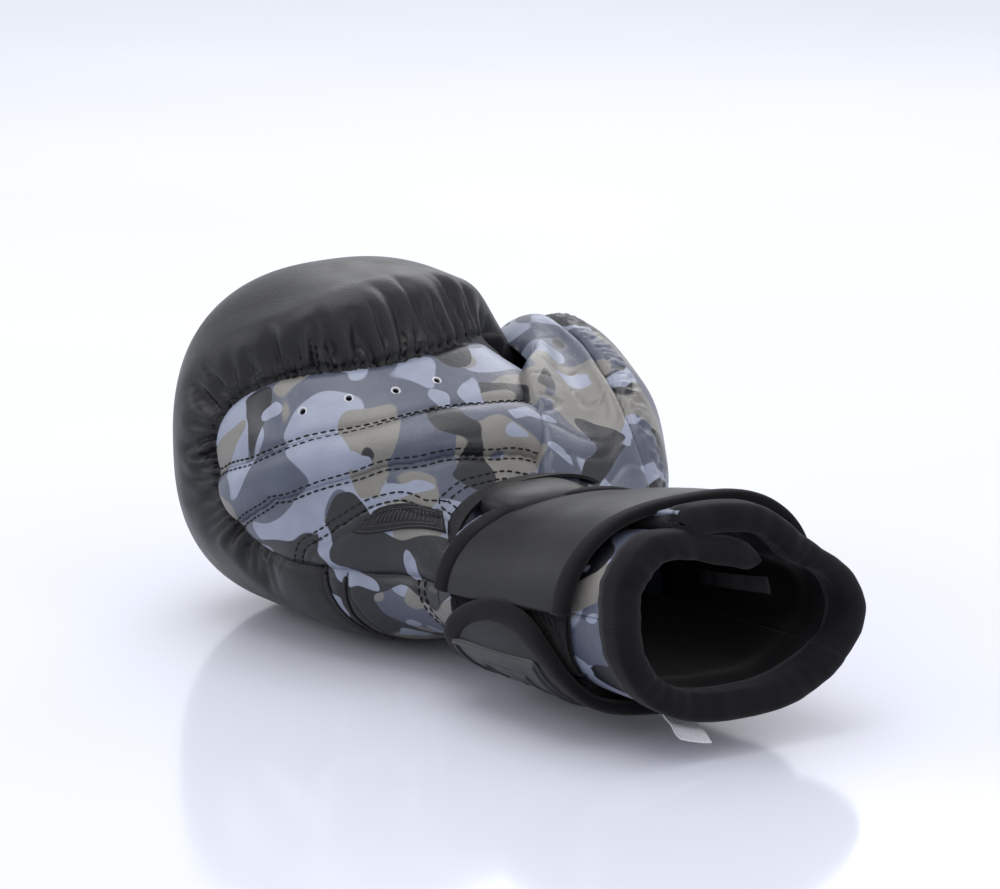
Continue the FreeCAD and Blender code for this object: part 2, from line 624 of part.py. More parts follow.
os.makedirs("parts", exist_ok=True)
for thing in nodes:
    thing.Shape.exportStep(os.path.join("parts", f"{thing.Label}.step"))
    box = thing.Shape.optimalBoundingBox(False, False)
    print(f"{thing.Label:22s} solids {len(thing.Shape.Solids)} volume {thing.Shape.Volume:10.0f} "
          f"x {box.XMin:.1f}..{box.XMax:.1f} y {box.YMin:.1f}..{box.YMax:.1f} z {box.ZMin:.1f}..{box.ZMax:.1f}")
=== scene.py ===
import bmesh
import bpy
import math
import numpy as np
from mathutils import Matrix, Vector
from mathutils.bvhtree import BVHTree


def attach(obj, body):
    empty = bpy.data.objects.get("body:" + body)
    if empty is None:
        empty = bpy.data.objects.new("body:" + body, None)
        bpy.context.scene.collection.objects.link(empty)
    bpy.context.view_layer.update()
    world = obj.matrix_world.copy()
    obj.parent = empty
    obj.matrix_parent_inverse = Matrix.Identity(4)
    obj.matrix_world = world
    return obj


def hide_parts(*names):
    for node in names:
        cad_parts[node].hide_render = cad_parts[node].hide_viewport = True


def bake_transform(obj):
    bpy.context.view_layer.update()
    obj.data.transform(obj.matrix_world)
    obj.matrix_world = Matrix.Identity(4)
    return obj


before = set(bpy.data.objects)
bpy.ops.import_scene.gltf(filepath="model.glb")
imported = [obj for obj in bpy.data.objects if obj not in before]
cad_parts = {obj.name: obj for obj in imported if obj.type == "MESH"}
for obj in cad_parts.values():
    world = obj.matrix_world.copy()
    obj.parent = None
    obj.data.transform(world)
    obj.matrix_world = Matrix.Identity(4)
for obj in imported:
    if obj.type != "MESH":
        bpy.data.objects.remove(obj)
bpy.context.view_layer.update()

# All shapes below are worked out in millimetres and turned into metres when a mesh is made.
MM = 0.001
HAND_Y = -15.0
SEED = 11
rng = np.random.default_rng(SEED)


# ---------------------------------------------------------------- number helpers

def monotone(xs, ys):
    """A smooth function through points that doesn't overshoot them."""
    xs, ys = np.array(xs, float), np.array(ys, float)
    gap = np.diff(xs)
    rise = np.diff(ys) / gap
    slope = np.zeros_like(ys)
    slope[0], slope[-1] = rise[0], rise[-1]
    for k in range(1, len(ys) - 1):
        if rise[k - 1] * rise[k] > 0:
            a, b = 2 * gap[k] + gap[k - 1], gap[k] + 2 * gap[k - 1]
            slope[k] = (a + b) / (a / rise[k - 1] + b / rise[k])

    def value(x):
        x = np.clip(x, xs[0], xs[-1])
        k = np.clip(np.searchsorted(xs, x) - 1, 0, len(gap) - 1)
        u = (x - xs[k]) / gap[k]
        return (ys[k] * (1 + 2 * u) * (1 - u) ** 2 + gap[k] * slope[k] * u * (1 - u) ** 2
                + ys[k + 1] * u * u * (3 - 2 * u) + gap[k] * slope[k + 1] * u * u * (u - 1))

    return value


def step(low, high, x):
    """0 below low, 1 above high, smooth between."""
    u = np.clip((x - low) / (high - low), 0, 1)
    return u * u * (3 - 2 * u)


def bump(x, width):
    """1 at 0, fading to nothing over about two widths."""
    return np.exp(-(x / width) ** 2)


def arc(line):
    """How far along a polyline each of its points is."""
    return np.concatenate([[0], np.cumsum(np.linalg.norm(np.diff(line, axis=0), axis=1))])


def signed_power(value, power):
    """The value's size raised to a power, its sign kept."""
    return np.copysign(np.abs(value) ** power, value)


def unit(vectors):
    """Each row made one long; rows of nothing stay nothing."""
    return vectors / np.maximum(np.linalg.norm(vectors, axis=-1, keepdims=True), 1e-12)


def spline(points, spacing=0.7, closed=False):
    """A smooth polyline through the points, densely sampled."""
    p = np.array(points, float)
    if closed:
        p = np.vstack([p[-1], p, p[0], p[1]])
    else:
        p = np.vstack([2 * p[0] - p[1], p, 2 * p[-1] - p[-2]])
    out = []
    for a, b, c, d in zip(p[:-3], p[1:-2], p[2:-1], p[3:]):
        count = max(2, int(np.linalg.norm(c - b) / spacing))
        u = np.linspace(0, 1, count, endpoint=False)[:, None]
        out.append(b + 0.5 * u * (c - a + u * (2 * a - 5 * b + 4 * c - d + u * (3 * (b - c) + d - a))))
    if not closed:
        out.append(p[-2][None])
    return np.vstack(out)


def resample(line, spacing):
    """Points evenly spaced along a polyline, ends kept."""
    along = arc(line)
    where = np.linspace(0, along[-1], max(2, int(round(along[-1] / spacing)) + 1))
    return np.stack([np.interp(where, along, line[:, k]) for k in range(line.shape[1])], 1)


def nearest(points, line):
    """How far each point is from a polyline, and how far along the line its nearest place is."""
    along = arc(line)
    square = (line ** 2).sum(1)
    best = np.concatenate([(square - 2 * points[k:k + 8192] @ line.T).argmin(1)
                           for k in range(0, len(points), 8192)])
    distance, place = np.full(len(points), np.inf), np.zeros(len(points))
    for shift in (-1, 0):
        a = np.clip(best + shift, 0, len(line) - 2)
        edge = line[a + 1] - line[a]
        length = np.maximum((edge ** 2).sum(1), 1e-9)
        u = np.clip(((points - line[a]) * edge).sum(1) / length, 0, 1)
        d = np.linalg.norm(points - line[a] - edge * u[:, None], axis=1)
        closer = d < distance
        distance = np.where(closer, d, distance)
        place = np.where(closer, along[a] + u * np.sqrt(length), place)
    return distance, place


def inside(flat, loop):
    """Whether flat points lie inside a closed flat polygon."""
    x, y = flat.T
    result = np.zeros(len(flat), bool)
    for (x1, y1), (x2, y2) in zip(loop, np.roll(loop, -1, axis=0)):
        if y1 != y2:
            result ^= ((y1 > y) != (y2 > y)) & (x < (x2 - x1) * (y - y1) / (y2 - y1) + x1)
    return result


# ---------------------------------------------------------------- mesh helpers

SNAP = 0.12


def split(data, tris, value):
    """Cuts triangles along value == 0. data holds one row per vertex; new rows are worked out between old ones."""
    value = np.where(np.abs(value) < SNAP, 0.0, value)
    side = np.sign(value)[tris]
    mixed = (side.min(1) < 0) & (side.max(1) > 0)
    whole, work = tris[~mixed], tris[mixed]
    side = side[mixed]
    made, rows = {}, []

    def between(a, b):
        key = (a, b) if a < b else (b, a)
        if key not in made:
            made[key] = len(data) + len(rows)
            u = value[key[0]] / (value[key[0]] - value[key[1]])
            rows.append(data[key[0]] + (data[key[1]] - data[key[0]]) * u)
        return made[key]

    parts = []
    for tri, signs in zip(work.tolist(), side.tolist()):
        if 0 in signs:
            k = signs.index(0)
            a, b, c = tri[k], tri[k - 2], tri[k - 1]
            p = between(b, c)
            parts += [(a, b, p), (a, p, c)]
        else:
            k = next(n for n in range(3) if signs[n] != signs[n - 1] and signs[n] != signs[n - 2])
            a, b, c = tri[k], tri[k - 2], tri[k - 1]
            p, q = between(a, b), between(a, c)
            parts += [(a, p, q), (p, b, c), (p, c, q)]
    if rows:
        data = np.vstack([data, rows])
        whole = np.vstack([whole, parts])
    return data, whole


def submesh(points, tris, chosen):
    """The chosen triangles with only the vertices that they use."""
    tris = tris[chosen]
    used, index = np.unique(tris, return_inverse=True)
    return [p[used] for p in points], index.reshape(-1, 3)


def grid_faces(rows, columns, wrap=False):
    """Quads of a grid, row by row; wrap joins the last column to the first."""
    r, c = np.meshgrid(np.arange(rows - 1), np.arange(columns if wrap else columns - 1), indexing="ij")
    a, b = r * columns + c, r * columns + (c + 1) % columns
    return np.stack([a, b, b + columns, a + columns], -1).reshape(-1, 4)


def triangles(quads):
    return np.vstack([quads[:, [0, 1, 2]], quads[:, [0, 2, 3]]])


def rim_edges(faces):
    """The directed edges that only one face has."""
    following = np.roll(faces, -1, axis=1)
    edges = np.vstack([np.stack([faces[:, k], following[:, k]], 1) for k in range(faces.shape[1])])
    low, high = edges.min(1).astype(np.int64), edges.max(1).astype(np.int64)
    key = low * (faces.max() + 1) + high
    _, first, count = np.unique(key, return_index=True, return_counts=True)
    return edges[first[count == 1]]


def thick(points, faces, normals, depth):
    """A closed solid: the sheet, a second sheet depth below it, and the wall between their rims."""
    n = len(points)
    rim = rim_edges(faces)
    wall = np.stack([rim[:, 1], rim[:, 0], rim[:, 0] + n, rim[:, 1] + n], 1)
    lower = points - normals * np.reshape(depth, (-1, 1))
    sheets = np.vstack([faces, faces[:, ::-1] + n])
    return np.vstack([points, lower]), sheets.tolist() + wall.tolist()


def vertex_normals(points, tris):
    a, b, c = (points[tris[:, k]] for k in range(3))
    face = np.cross(b - a, c - a)
    total = np.zeros_like(points)
    for k in range(3):
        np.add.at(total, tris[:, k], face)
    return unit(total)


def piece(name, points, faces, material, slot, node=None, fill=None, fold=None, weld=True):
    """A mesh object in the row frame. node names the CAD node it replaces, which is hidden. slot is not used.
    fill is not used. fold names a joint; with one the object is left off root and its transform is baked into its
    mesh, without one it rides on root."""
    mesh = bpy.data.meshes.new(name)
    faces = faces.tolist() if isinstance(faces, np.ndarray) else faces
    mesh.from_pydata((np.asarray(points) * MM).tolist(), [], faces)
    if weld:
        work = bmesh.new()
        work.from_mesh(mesh)
        bmesh.ops.remove_doubles(work, verts=work.verts, dist=2e-6)
        bmesh.ops.recalc_face_normals(work, faces=work.faces)
        work.to_mesh(mesh)
        work.free()
    mesh.shade_smooth()
    mesh.materials.append(material)
    thing = bpy.data.objects.new(name, mesh)
    bpy.context.scene.collection.objects.link(thing)
    if not fold:
        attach(thing, "root")
    if node:
        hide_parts(node)
    if fold:
        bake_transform(thing)


# ---------------------------------------------------------------- the hand's outer form

NOSE_X, NOSE_LONG, NOSE_POWER = -93.0, 52.0, 2.7
SECTION_POWER = 2.5
WRIST_X = 25.0
MITT_END, PANELS_END = WRIST_X + 14, WRIST_X + 11   # where the mitt's form and its leather stop, under the strap
half_wide = monotone((-93, -70, -45, -20, 5, 25), (71.5, 71.5, 69, 60, 49.5, 46))
low_z = monotone((-93, -70, -45, -20, 5, 25), (-1.2, -1.2, -1, 3, 10, 13))
high_z = monotone((-93, -70, -45, -20, 5, 25), (135.7, 134.5, 120, 103, 85, 67.5))


def section(x):
    """Half width, half height and middle height of the mitt at x."""
    reach = np.clip((NOSE_X - x) / NOSE_LONG, 0, 1)
    shrink = (1 - reach ** NOSE_POWER) ** (1 / NOSE_POWER)
    low, high = low_z(x), high_z(x)
    return half_wide(x) * shrink, (high - low) / 2 * shrink, (high + low) / 2


def on_mitt(x, t):
    """The mitt's plain form at station x and angle t, which is 0 at the thumb's side and 90 degrees on the palm."""
    wide, tall, middle = section(x)
    y = signed_power(np.cos(t), 2 / SECTION_POWER) * wide
    z = signed_power(np.sin(t), 2 / SECTION_POWER) * tall
    return np.stack([x + 0 * t, HAND_Y + y, middle + z], -1)


def flat_place(points):
    """(x, angle) of points that lie on or near the mitt, the angle from -90 to 270 degrees, in radians."""
    p = np.array(points, float)
    wide, tall, middle = section(p[:, 0])
    y, z = (p[:, 1] - HAND_Y) / wide, (p[:, 2] - middle) / tall
    power = SECTION_POWER / 2
    t = np.arctan2(signed_power(z, power), signed_power(y, power))
    return np.stack([p[:, 0], np.where(t < -math.pi / 2, t + 2 * math.pi, t)], 1)


ANGLE_SIZE = 60.0   # millimetres that stand for one radian, so that flat curves are evenly spaced


def seam(points, closed=False):
    """A seam through listed points near the mitt: its flat curve (x, angle) and its curve in space."""
    flat = flat_place(points) * (1, ANGLE_SIZE)
    flat = spline(flat, 0.8, closed) / (1, ANGLE_SIZE)
    return flat, on_mitt(*flat.T)


PALM_LOOP = seam([
    (32, -61, 46), (2, -64, 39), (-18, -73, 37), (-38, -80, 36), (-56, -83, 37), (-70, -84, 42), (-81, -86, 53),
    (-86, -86, 65), (-88, -86, 76), (-86, -86, 86), (-79, -84, 96), (-68, -80, 104), (-56, -70, 109), (-45, -52, 111),
    (-39, -33, 112), (-40, -10, 113), (-46, 14, 115), (-52, 34, 113), (-50, 48, 100), (-34, 50, 82), (-8, 42, 72),
    (14, 34, 64), (34, 30, 56), (50, -15, 84), (50, -50, 74)], closed=True)
GRIP_FRONT = seam([(-100, -86, 57), (-86, -86, 63), (-64, -86, 72), (-51, -84, 78), (-38, -78, 85), (-25, -66, 91),
                   (-18, -55, 95), (-14, -40, 98), (-12, -24, 99), (-10, -5, 98), (-10, 15, 93), (-12, 35, 82),
                   (-14, 48, 66)])
GRIP_REAR = seam([(-82, -84, 38), (-75, -84, 43), (-51, -85, 58), (-36, -81, 65), (-17, -71, 74), (-8, -61, 79),
                  (0, -51, 81), (5, -38, 82), (9, -25, 82), (10, -15, 81), (14, 5, 78), (14, 28, 68), (10, 38, 58)])
HEEL_SEAM = seam([(-42, -80, 31), (-37, -80, 37), (-34, -80, 43), (-31, -79, 46), (-25, -77, 50), (-16, -73, 57),
                  (-10, -70, 62), (-3, -65, 66), (3, -61, 68), (9, -58, 67), (13, -55, 67), (17, -51, 67),
                  (26, -46, 63)])
LEAF = seam([(23, -45, 64), (18, -48, 67), (15, -50, 69), (14, -50, 70), (14, -46, 72), (14, -40, 74), (15, -33, 75),
             (16, -21, 75), (18, -13, 74), (22, -6, 71), (29, 3, 66)])
PIPING = seam([(-18, -72, 41), (-19, -71, 35), (-23, -66, 20), (-27, -50, 8), (-29, -15, 4), (-26, 30, 8), (-20, 44, 30),
               (-18, 46, 60)])
BACK_SEAM = seam([(11, -63, 46), (12, -62, 42), (16, -60, 30), (22, -46, 16), (30, -20, 10)])


def side_of(flat, curve, tail):
    """Distance to a seam, above 0 on the side of the flat corner points named in tail."""
    flat_curve, space_curve = curve
    distance, place = nearest(on_mitt(*flat.T), space_curve)
    loop = np.vstack([flat_curve, tail]) if len(tail) else flat_curve
    return np.where(inside(flat, loop), distance, -distance), place


FAR_X = 80.0
TURN = 2 * math.pi
REAR_TAIL = np.array([(FAR_X, -0.6), (FAR_X, math.pi + 0.9)])


def mitt_grid(spacing=1.35, columns=320):
    """The mitt's plain form as triangles, with each vertex's station and angle."""
    nose = NOSE_X - NOSE_LONG * np.sin(np.linspace(math.pi / 2, 0, 400))
    line = np.concatenate([nose, np.linspace(NOSE_X, MITT_END, 300)[1:]])
    profile = np.stack([line, section(line)[1] * 1.3], 1)
    stations = resample(profile, spacing)[:, 0]
    fine = np.linspace(-math.pi / 2, 1.5 * math.pi, 1441)
    angles = []
    for x in stations:
        ring = on_mitt(np.full(len(fine), x), fine)
        along = arc(ring)
        angles.append(np.interp(np.linspace(0, along[-1], columns), along, fine))
    flat = np.stack([np.repeat(stations, columns), np.concatenate(angles)], 1)
    quads = grid_faces(len(stations), columns)
    return flat, triangles(quads[:, ::-1])


def mitt_normal(flat):
    """The outward direction of the mitt's plain form."""
    e = 0.02
    along = on_mitt(np.clip(flat[:, 0] + e, -144.99, 60), flat[:, 1]) - on_mitt(
        np.clip(flat[:, 0] - e, -144.99, 60), flat[:, 1])
    around = on_mitt(flat[:, 0], flat[:, 1] + 1e-3) - on_mitt(flat[:, 0], flat[:, 1] - 1e-3)
    n = np.cross(around, along)
    length = np.linalg.norm(n, axis=1, keepdims=True)
    n = np.where(length > 1e-9, n / np.maximum(length, 1e-9), (-1.0, 0.0, 0.0))
    wide, tall, middle = section(flat[:, 0])
    out = on_mitt(*flat.T) - np.stack([flat[:, 0] + 30, 0 * wide + HAND_Y, middle], 1)
    n *= np.sign((n * out).sum(1, keepdims=True))
    return n


def stitched(distance, rows=1.5):
    """How a double row of stitching pulls the leather down beside a seam."""
    return (-0.8 * bump(distance, 3.4) - 0.35 * bump(np.abs(distance) - rows, 0.8)
            + 0.25 * bump(distance, 0.6))


class Fields:
    """Distances from every vertex to each seam of the mitt, and how far along the palm seam each vertex's nearest
    place lies.
    """

    def __init__(self, flat):
        self.flat = flat
        self.base = on_mitt(*flat.T)
        self.palm, self.palm_place = side_of(flat, PALM_LOOP, ())
        self.front, _ = side_of(flat, GRIP_FRONT, REAR_TAIL)
        self.rear, _ = side_of(flat, GRIP_REAR, REAR_TAIL)
        self.heel, _ = side_of(flat, HEEL_SEAM, np.array([(FAR_X, 1.5), (FAR_X, math.pi + 0.9)]))
        self.piping, _ = side_of(flat, PIPING, np.array([(-18, TURN / 4 + 0.5), (FAR_X, TURN / 4 + 0.5),
                                                        (FAR_X, -2.0), (FAR_X, TURN), (-18, TURN)]))
        self.back, _ = side_of(flat, BACK_SEAM, np.array([(FAR_X, 4.6), (FAR_X, 3.0)]))


PLEATS_FROM, PLEATS_TO = 84.0, 415.0


def make_pleats():
    """Gathers beside the palm seam: place along it, lean, bend, depth, width and length."""
    place, rows = PLEATS_FROM, []
    while place < PLEATS_TO:
        start = step(PLEATS_FROM - 6, PLEATS_FROM + 30, place)
        deep = (3.6 + 3.0 * rng.random()) * (0.45 + 0.55 * start)
        on_roll = step(215, 260, place)
        rows.append((place, rng.normal(0, 0.15), rng.normal(0, 2.4), deep, 0.75 + 0.7 * rng.random(),
                     14 + (16 + 12 * on_roll) * rng.random() ** 1.2))
        place += (3.4 + 2.6 * on_roll) * (0.75 + 0.7 * rng.random())
    return rows


PLEATS = make_pleats()


def beside_palm(place):
    """1 along the part of the palm seam where the leather is gathered."""
    return step(PLEATS_FROM - 8, PLEATS_FROM + 22, place) * (1 - step(PLEATS_TO - 5, PLEATS_TO + 10, place))


def gathers(distance, place):
    """The leather's height beside the palm seam, where it is gathered into ridges between narrow valleys."""
    out = np.zeros(len(distance))
    near = (distance > -1) & (distance < 60)
    d, s = distance[near], place[near]
    total = np.zeros(len(d))
    for where, lean, bend, deep, width, length in PLEATS:
        line = where + lean * d + bend * np.sin(d / 11.0)
        away = np.abs(s - line) / (width * (1 + d / 14.0))
        total -= deep * np.exp(-away ** 1.25) * (1 - step(0.2, 1.0, d / length)) * step(-1.5, 1.5, d)
    swell = 1.8 * step(0, 5, d) * (1 - step(12, 38, d))
    out[near] = (np.maximum(total, -6.6) + swell) * beside_palm(s)
    return out


def gather_floor(distance, place):
    """Lower than the gathers everywhere, for the foam beneath them."""
    near = step(-2, 0, distance) * (1 - step(20, 46, distance))
    return -6.8 * near * beside_palm(place)


def bar_height(f):
    """How far the grip bar stands up between its two seams."""
    across = np.clip(f.front / np.maximum(f.front - f.rear, 1e-6), 0, 1)
    return (4.6 * np.sqrt(np.clip(4 * across * (1 - across), 0, 1)) * step(0, 9, f.palm)
            * (f.front > 0) * (f.rear < 0))


NOTCH, NOTCH_WIDE, NOTCH_DEEP = np.array([-56.0, 44.0, 108.0]), 22.0, 12.0


def plain_relief(f):
    """The valley along the palm seam, the notch by the thumb, the seams and the wrist, without bar or gathers."""
    degrees = np.degrees(f.flat[:, 1])
    roll = 1 - step(140, 182, degrees)
    palm, black = np.maximum(f.palm, 0), np.maximum(-f.palm, 0)
    depth = 2.0 + 7.5 * roll
    valley = -depth * np.where(f.palm > 0, 1 - step(-14, 26 + 34 * roll, palm),
                               1 - step(-5, 12 + 14 * roll, black))
    edge = -1.8 * bump(f.palm, 2.6)
    rows = (stitched(f.front) + stitched(f.rear)) * step(-1, 2, f.palm)
    heel = (0.7 * step(-0.4, 0.4, f.heel) + stitched(f.heel - 2.0)) * step(-1, 2, f.palm)
    away = np.linalg.norm(f.base - NOTCH, axis=1)
    notch = -NOTCH_DEEP * bump(away, NOTCH_WIDE)
    wrist = -1.0 * bump(f.piping, 1.6) * (f.palm < 2) + stitched(f.back) * step(0, 3, f.piping)
    return valley + edge + rows + heel + wrist + notch


def relief(f):
    """How far the finished leather stands off the mitt's plain form."""
    return plain_relief(f) + bar_height(f) + gathers(-f.palm, f.palm_place)


REST_FROM, REST_Z, REST_SOFT, REST_LOWEST = 1.2, 0.6, 0.15, 0.15


def finished(flat, fields):
    """Points of the finished leather's outer face, flattened where the glove rests on the floor."""
    points = on_mitt(*flat.T) + mitt_normal(flat) * relief(fields)[:, None]
    z = points[:, 2]
    points[:, 2] = np.where(z < REST_FROM, np.maximum(REST_Z + (z - REST_Z) * REST_SOFT, REST_LOWEST), z)
    return points


# ---------------------------------------------------------------- materials

def link(source, target):
    target.id_data.links.new(source, target)


def material(name):
    """A new node material; returns it with its shader and a function that adds a node."""
    made = bpy.data.materials.new(name)
    made.use_nodes = True
    tree = made.node_tree
    shader = tree.nodes["Principled BSDF"]

    def add(kind, **settings):
        thing = tree.nodes.new(kind)
        for key, value in settings.items():
            if isinstance(key, str) and hasattr(thing, key):
                setattr(thing, key, value)
            else:
                thing.inputs[key.replace("_", " ")].default_value = value
        return thing

    return made, shader, add


def srgb(red, green, blue):
    """A colour given as 0 to 255 display values."""
    def linear(c):
        c /= 255
        return c / 12.92 if c <= 0.04045 else ((c + 0.055) / 1.055) ** 2.4
    return linear(red), linear(green), linear(blue), 1.0


def noise(add, where, scale, detail=2.0, roughness=0.5, distortion=0.0):
    n = add("ShaderNodeTexNoise", Scale=scale, Detail=detail, Roughness=roughness, Distortion=distortion)
    link(where, n.inputs["Vector"])
    return n.outputs["Fac"]


def ramp(add, source, stops):
    r = add("ShaderNodeValToRGB")
    while len(r.color_ramp.elements) < len(stops):
        r.color_ramp.elements.new(0.5)
    for element, (position, colour) in zip(r.color_ramp.elements, stops):
        element.position = position
        element.color = colour if len(colour) == 4 else (*colour, 1)
    link(source, r.inputs["Fac"])
    return r.outputs["Color"]


def mix(add, factor, a, b, blend_type="MIX"):
    m = add("ShaderNodeMix", data_type="RGBA", blend_type=blend_type)
    sockets = [s for s in m.inputs if s.enabled]
    for socket, value in zip(sockets, (factor, a, b)):
        if hasattr(value, "is_output"):
            link(value, socket)
        else:
            socket.default_value = value
    return next(s for s in m.outputs if s.enabled)


def bumped(add, shader, layers):
    """Chains bump nodes: (height socket, strength, distance in metres)."""
    last = None
    for height, strength, distance in layers:
        b = add("ShaderNodeBump", Strength=strength, Distance=distance)
        link(height, b.inputs["Height"])
        if last:
            link(last, b.inputs["Normal"])
        last = b.outputs["Normal"]
    link(last, shader.inputs["Normal"])


def grey(v):
    return (v, v, v, 1.0)


def leather(name, colour_of, rough, sheen=0.0, grain=0.5, spec=0.5):
    """Leather with pores, fine creases and a slightly uneven finish; colour_of builds its colour socket."""
    made, shader, add = material(name)
    where = add("ShaderNodeTexCoord").outputs["Object"]
    colour = colour_of(add, where)
    link(colour, shader.inputs["Base Color"])
    pores = add("ShaderNodeTexVoronoi", Scale=950.0)
    link(where, pores.inputs["Vector"])
    fine = noise(add, where, 2600.0, 3.0)
    creases = noise(add, where, 260.0, 5.0, 0.62, 1.2)
    soft = noise(add, where, 55.0, 3.0)
    rough_map = ramp(add, soft, [(0.3, grey(rough - 0.06)), (0.75, grey(rough + 0.07))])
    link(rough_map, shader.inputs["Roughness"])
    bumped(add, shader, [(pores.outputs["Distance"], 0.25 * grain, 0.0002), (fine, 0.3 * grain, 0.0001),
                               (creases, 0.55 * grain, 0.0006)])
    shader.inputs["Specular IOR Level"].default_value = spec
    shader.inputs["Sheen Weight"].default_value = sheen
    shader.inputs["Sheen Roughness"].default_value = 0.5
    shader.inputs["Coat Roughness"].default_value = 0.35
    return made


CHARCOAL, SLATE = srgb(17, 18, 24), srgb(74, 79, 95)
PALE_BLUE, BEIGE = srgb(136, 142, 160), srgb(118, 115, 110)


# Each tone that is laid over the slate: where it samples the noise, the noise's scale, its edge and its colour.
CAMO_TONES = (((3.1, 0.4, 1.7), 33.0, 0.55, PALE_BLUE), ((0.3, 5.2, 2.2), 34.0, 0.56, BEIGE),
              ((7.7, 1.1, 4.4), 34.0, 0.55, CHARCOAL), ((2.2, 8.8, 6.1), 55.0, 0.67, PALE_BLUE))


def camouflage(add, where):
    """Large rounded blobs in four tones."""
    drift = add("ShaderNodeTexNoise", Scale=26.0, Detail=0.0)
    link(where, drift.inputs["Vector"])
    shift = add("ShaderNodeVectorMath", operation="MULTIPLY_ADD")
    link(drift.outputs["Color"], shift.inputs[0])
    shift.inputs[1].default_value = (0.032, 0.032, 0.032)
    link(where, shift.inputs[2])
    colour = SLATE
    for offset, scale, edge, tone in CAMO_TONES:
        moved = add("ShaderNodeVectorMath", operation="ADD")
        link(shift.outputs[0], moved.inputs[0])
        moved.inputs[1].default_value = offset
        blob = noise(add, moved.outputs[0], scale, 0.6, 0.4)
        mask = ramp(add, blob, [(edge - 0.003, grey(0)), (edge + 0.003, grey(1))])
        colour = mix(add, mask, colour, tone)
    wear = noise(add, where, 130.0, 4.0, 0.6)
    shade = ramp(add, wear, [(0.3, grey(0.86)), (0.7, grey(1.0))])
    return mix(add, 1.0, colour, shade, "MULTIPLY")


def two_tones(low, high, scale=40.0):
    def build(add, where):
        return ramp(add, noise(add, where, scale, 4.0, 0.6), [(0.3, low), (0.7, high)])
    return build


def woven(name, low, high, rough, pitch, depth, sheen=0.0, spec=0.3):
    """Knit or woven cloth: two crossing wave bands under its colour and its bump. The colour is painted darker where
    the bands are low, as painted shade between the yarns.
    """
    made, shader, add = material(name)
    where = add("ShaderNodeTexCoord").outputs["Object"]
    bands = []
    for direction in ("X", "Y", "Z"):
        w = add("ShaderNodeTexWave", bands_direction=direction, Scale=pitch, Distortion=1.5, Detail=1.0)
        w.inputs["Detail Scale"].default_value = 3.0
        link(where, w.inputs["Vector"])
        bands.append(w.outputs["Fac"])
    both = add("ShaderNodeMath", operation="MULTIPLY")
    link(bands[0], both.inputs[0])
    link(bands[1], both.inputs[1])
    every = add("ShaderNodeMath", operation="MULTIPLY_ADD")
    link(both.outputs[0], every.inputs[0])
    every.inputs[1].default_value = 0.6
    link(bands[2], every.inputs[2])
    fuzz = noise(add, where, 1800.0, 4.0, 0.7)
    patch = noise(add, where, 60.0, 3.0)
    base = ramp(add, patch, [(0.3, low), (0.7, high)])
    # Painted shade: the colour is darkened where the weave's bump is low, in the hollows between the yarns.
    shade = ramp(add, every.outputs[0], [(0.1, grey(0.55)), (0.9, grey(1.0))])
    link(mix(add, 1.0, base, shade, "MULTIPLY"), shader.inputs["Base Color"])
    link(ramp(add, fuzz, [(0.3, grey(rough - 0.05)), (0.7, grey(rough + 0.08))]),
                   shader.inputs["Roughness"])
    bumped(add, shader, [(every.outputs[0], 0.5, depth), (fuzz, 0.4, depth * 0.5)])
    shader.inputs["Specular IOR Level"].default_value = spec
    shader.inputs["Sheen Weight"].default_value = sheen
    shader.inputs["Sheen Roughness"].default_value = 0.4
    return made


BLACK = leather("black_leather", two_tones(srgb(10, 10, 12), srgb(18, 18, 21)), 0.43, sheen=0.03, spec=0.36)
CAMO = leather("camo_leather", camouflage, 0.36)
EDGE = leather("cut_edge", two_tones(srgb(176, 178, 182), srgb(208, 208, 210), 300.0), 0.8, grain=0.8)
FOAM = leather("foam", two_tones(srgb(44, 44, 48), srgb(60, 60, 63), 300.0), 0.9, grain=1.0)
SATIN = leather("satin_lining", two_tones(srgb(7, 6, 9), srgb(13, 12, 15)), 0.42, sheen=0.06, grain=0.3, spec=0.3)
STRAP = leather("strap_leather", two_tones(srgb(12, 12, 15), srgb(18, 18, 22)), 0.44, grain=0.2, spec=0.33)
RUBBER = leather("plate_rubber", two_tones(srgb(32, 32, 36), srgb(42, 42, 46)), 0.36, grain=0.2)
KNIT = woven("binding_knit", srgb(18, 17, 20), srgb(27, 26, 29), 0.9, 2200.0, 0.00008, sheen=0.1, spec=0.15)
PILE = woven("loop_pile", srgb(7, 7, 9), srgb(16, 16, 18), 0.95, 1300.0, 0.0004, sheen=0.12, spec=0.1)
THREAD = woven("thread", srgb(14, 14, 16), srgb(26, 26, 30), 0.6, 900.0, 0.0002)
PAPER = woven("care_paper", srgb(205, 206, 212), srgb(226, 227, 232), 0.7, 900.0, 0.00005)
GREY_LABEL = woven("grey_label", srgb(58, 58, 62), srgb(74, 74, 78), 0.6, 1500.0, 0.00005)
LABEL = woven("woven_label", srgb(18, 18, 21), srgb(28, 28, 32), 0.5, 2400.0, 0.00005)


# ---------------------------------------------------------------- the mitt's panels

LEATHER_DEEP = 1.7


def vent_fields(flat):
    """Distance to each of the four punched vents."""
    points = on_mitt(*flat.T)
    return [np.linalg.norm(points - on_mitt(*flat_place([v])[0])[None], axis=1) for v in VENTS]


VENTS = [(-44, -75, 96), (-33, -60, 103), (-26, -42, 106), (-25, -22, 107)]
VENT_RADIUS = 1.5

SEAM_REACH, FAR = 3.0, 50.0   # a seam cuts this far past the palm's edge, and FAR stands for away from the seam


def palm_seam(name, shift=0.0):
    """Gives the distance to one of the palm's own seams, for splitting the mitt along it."""
    return lambda f: np.where(f.palm > -SEAM_REACH, getattr(f, name) + shift, FAR)


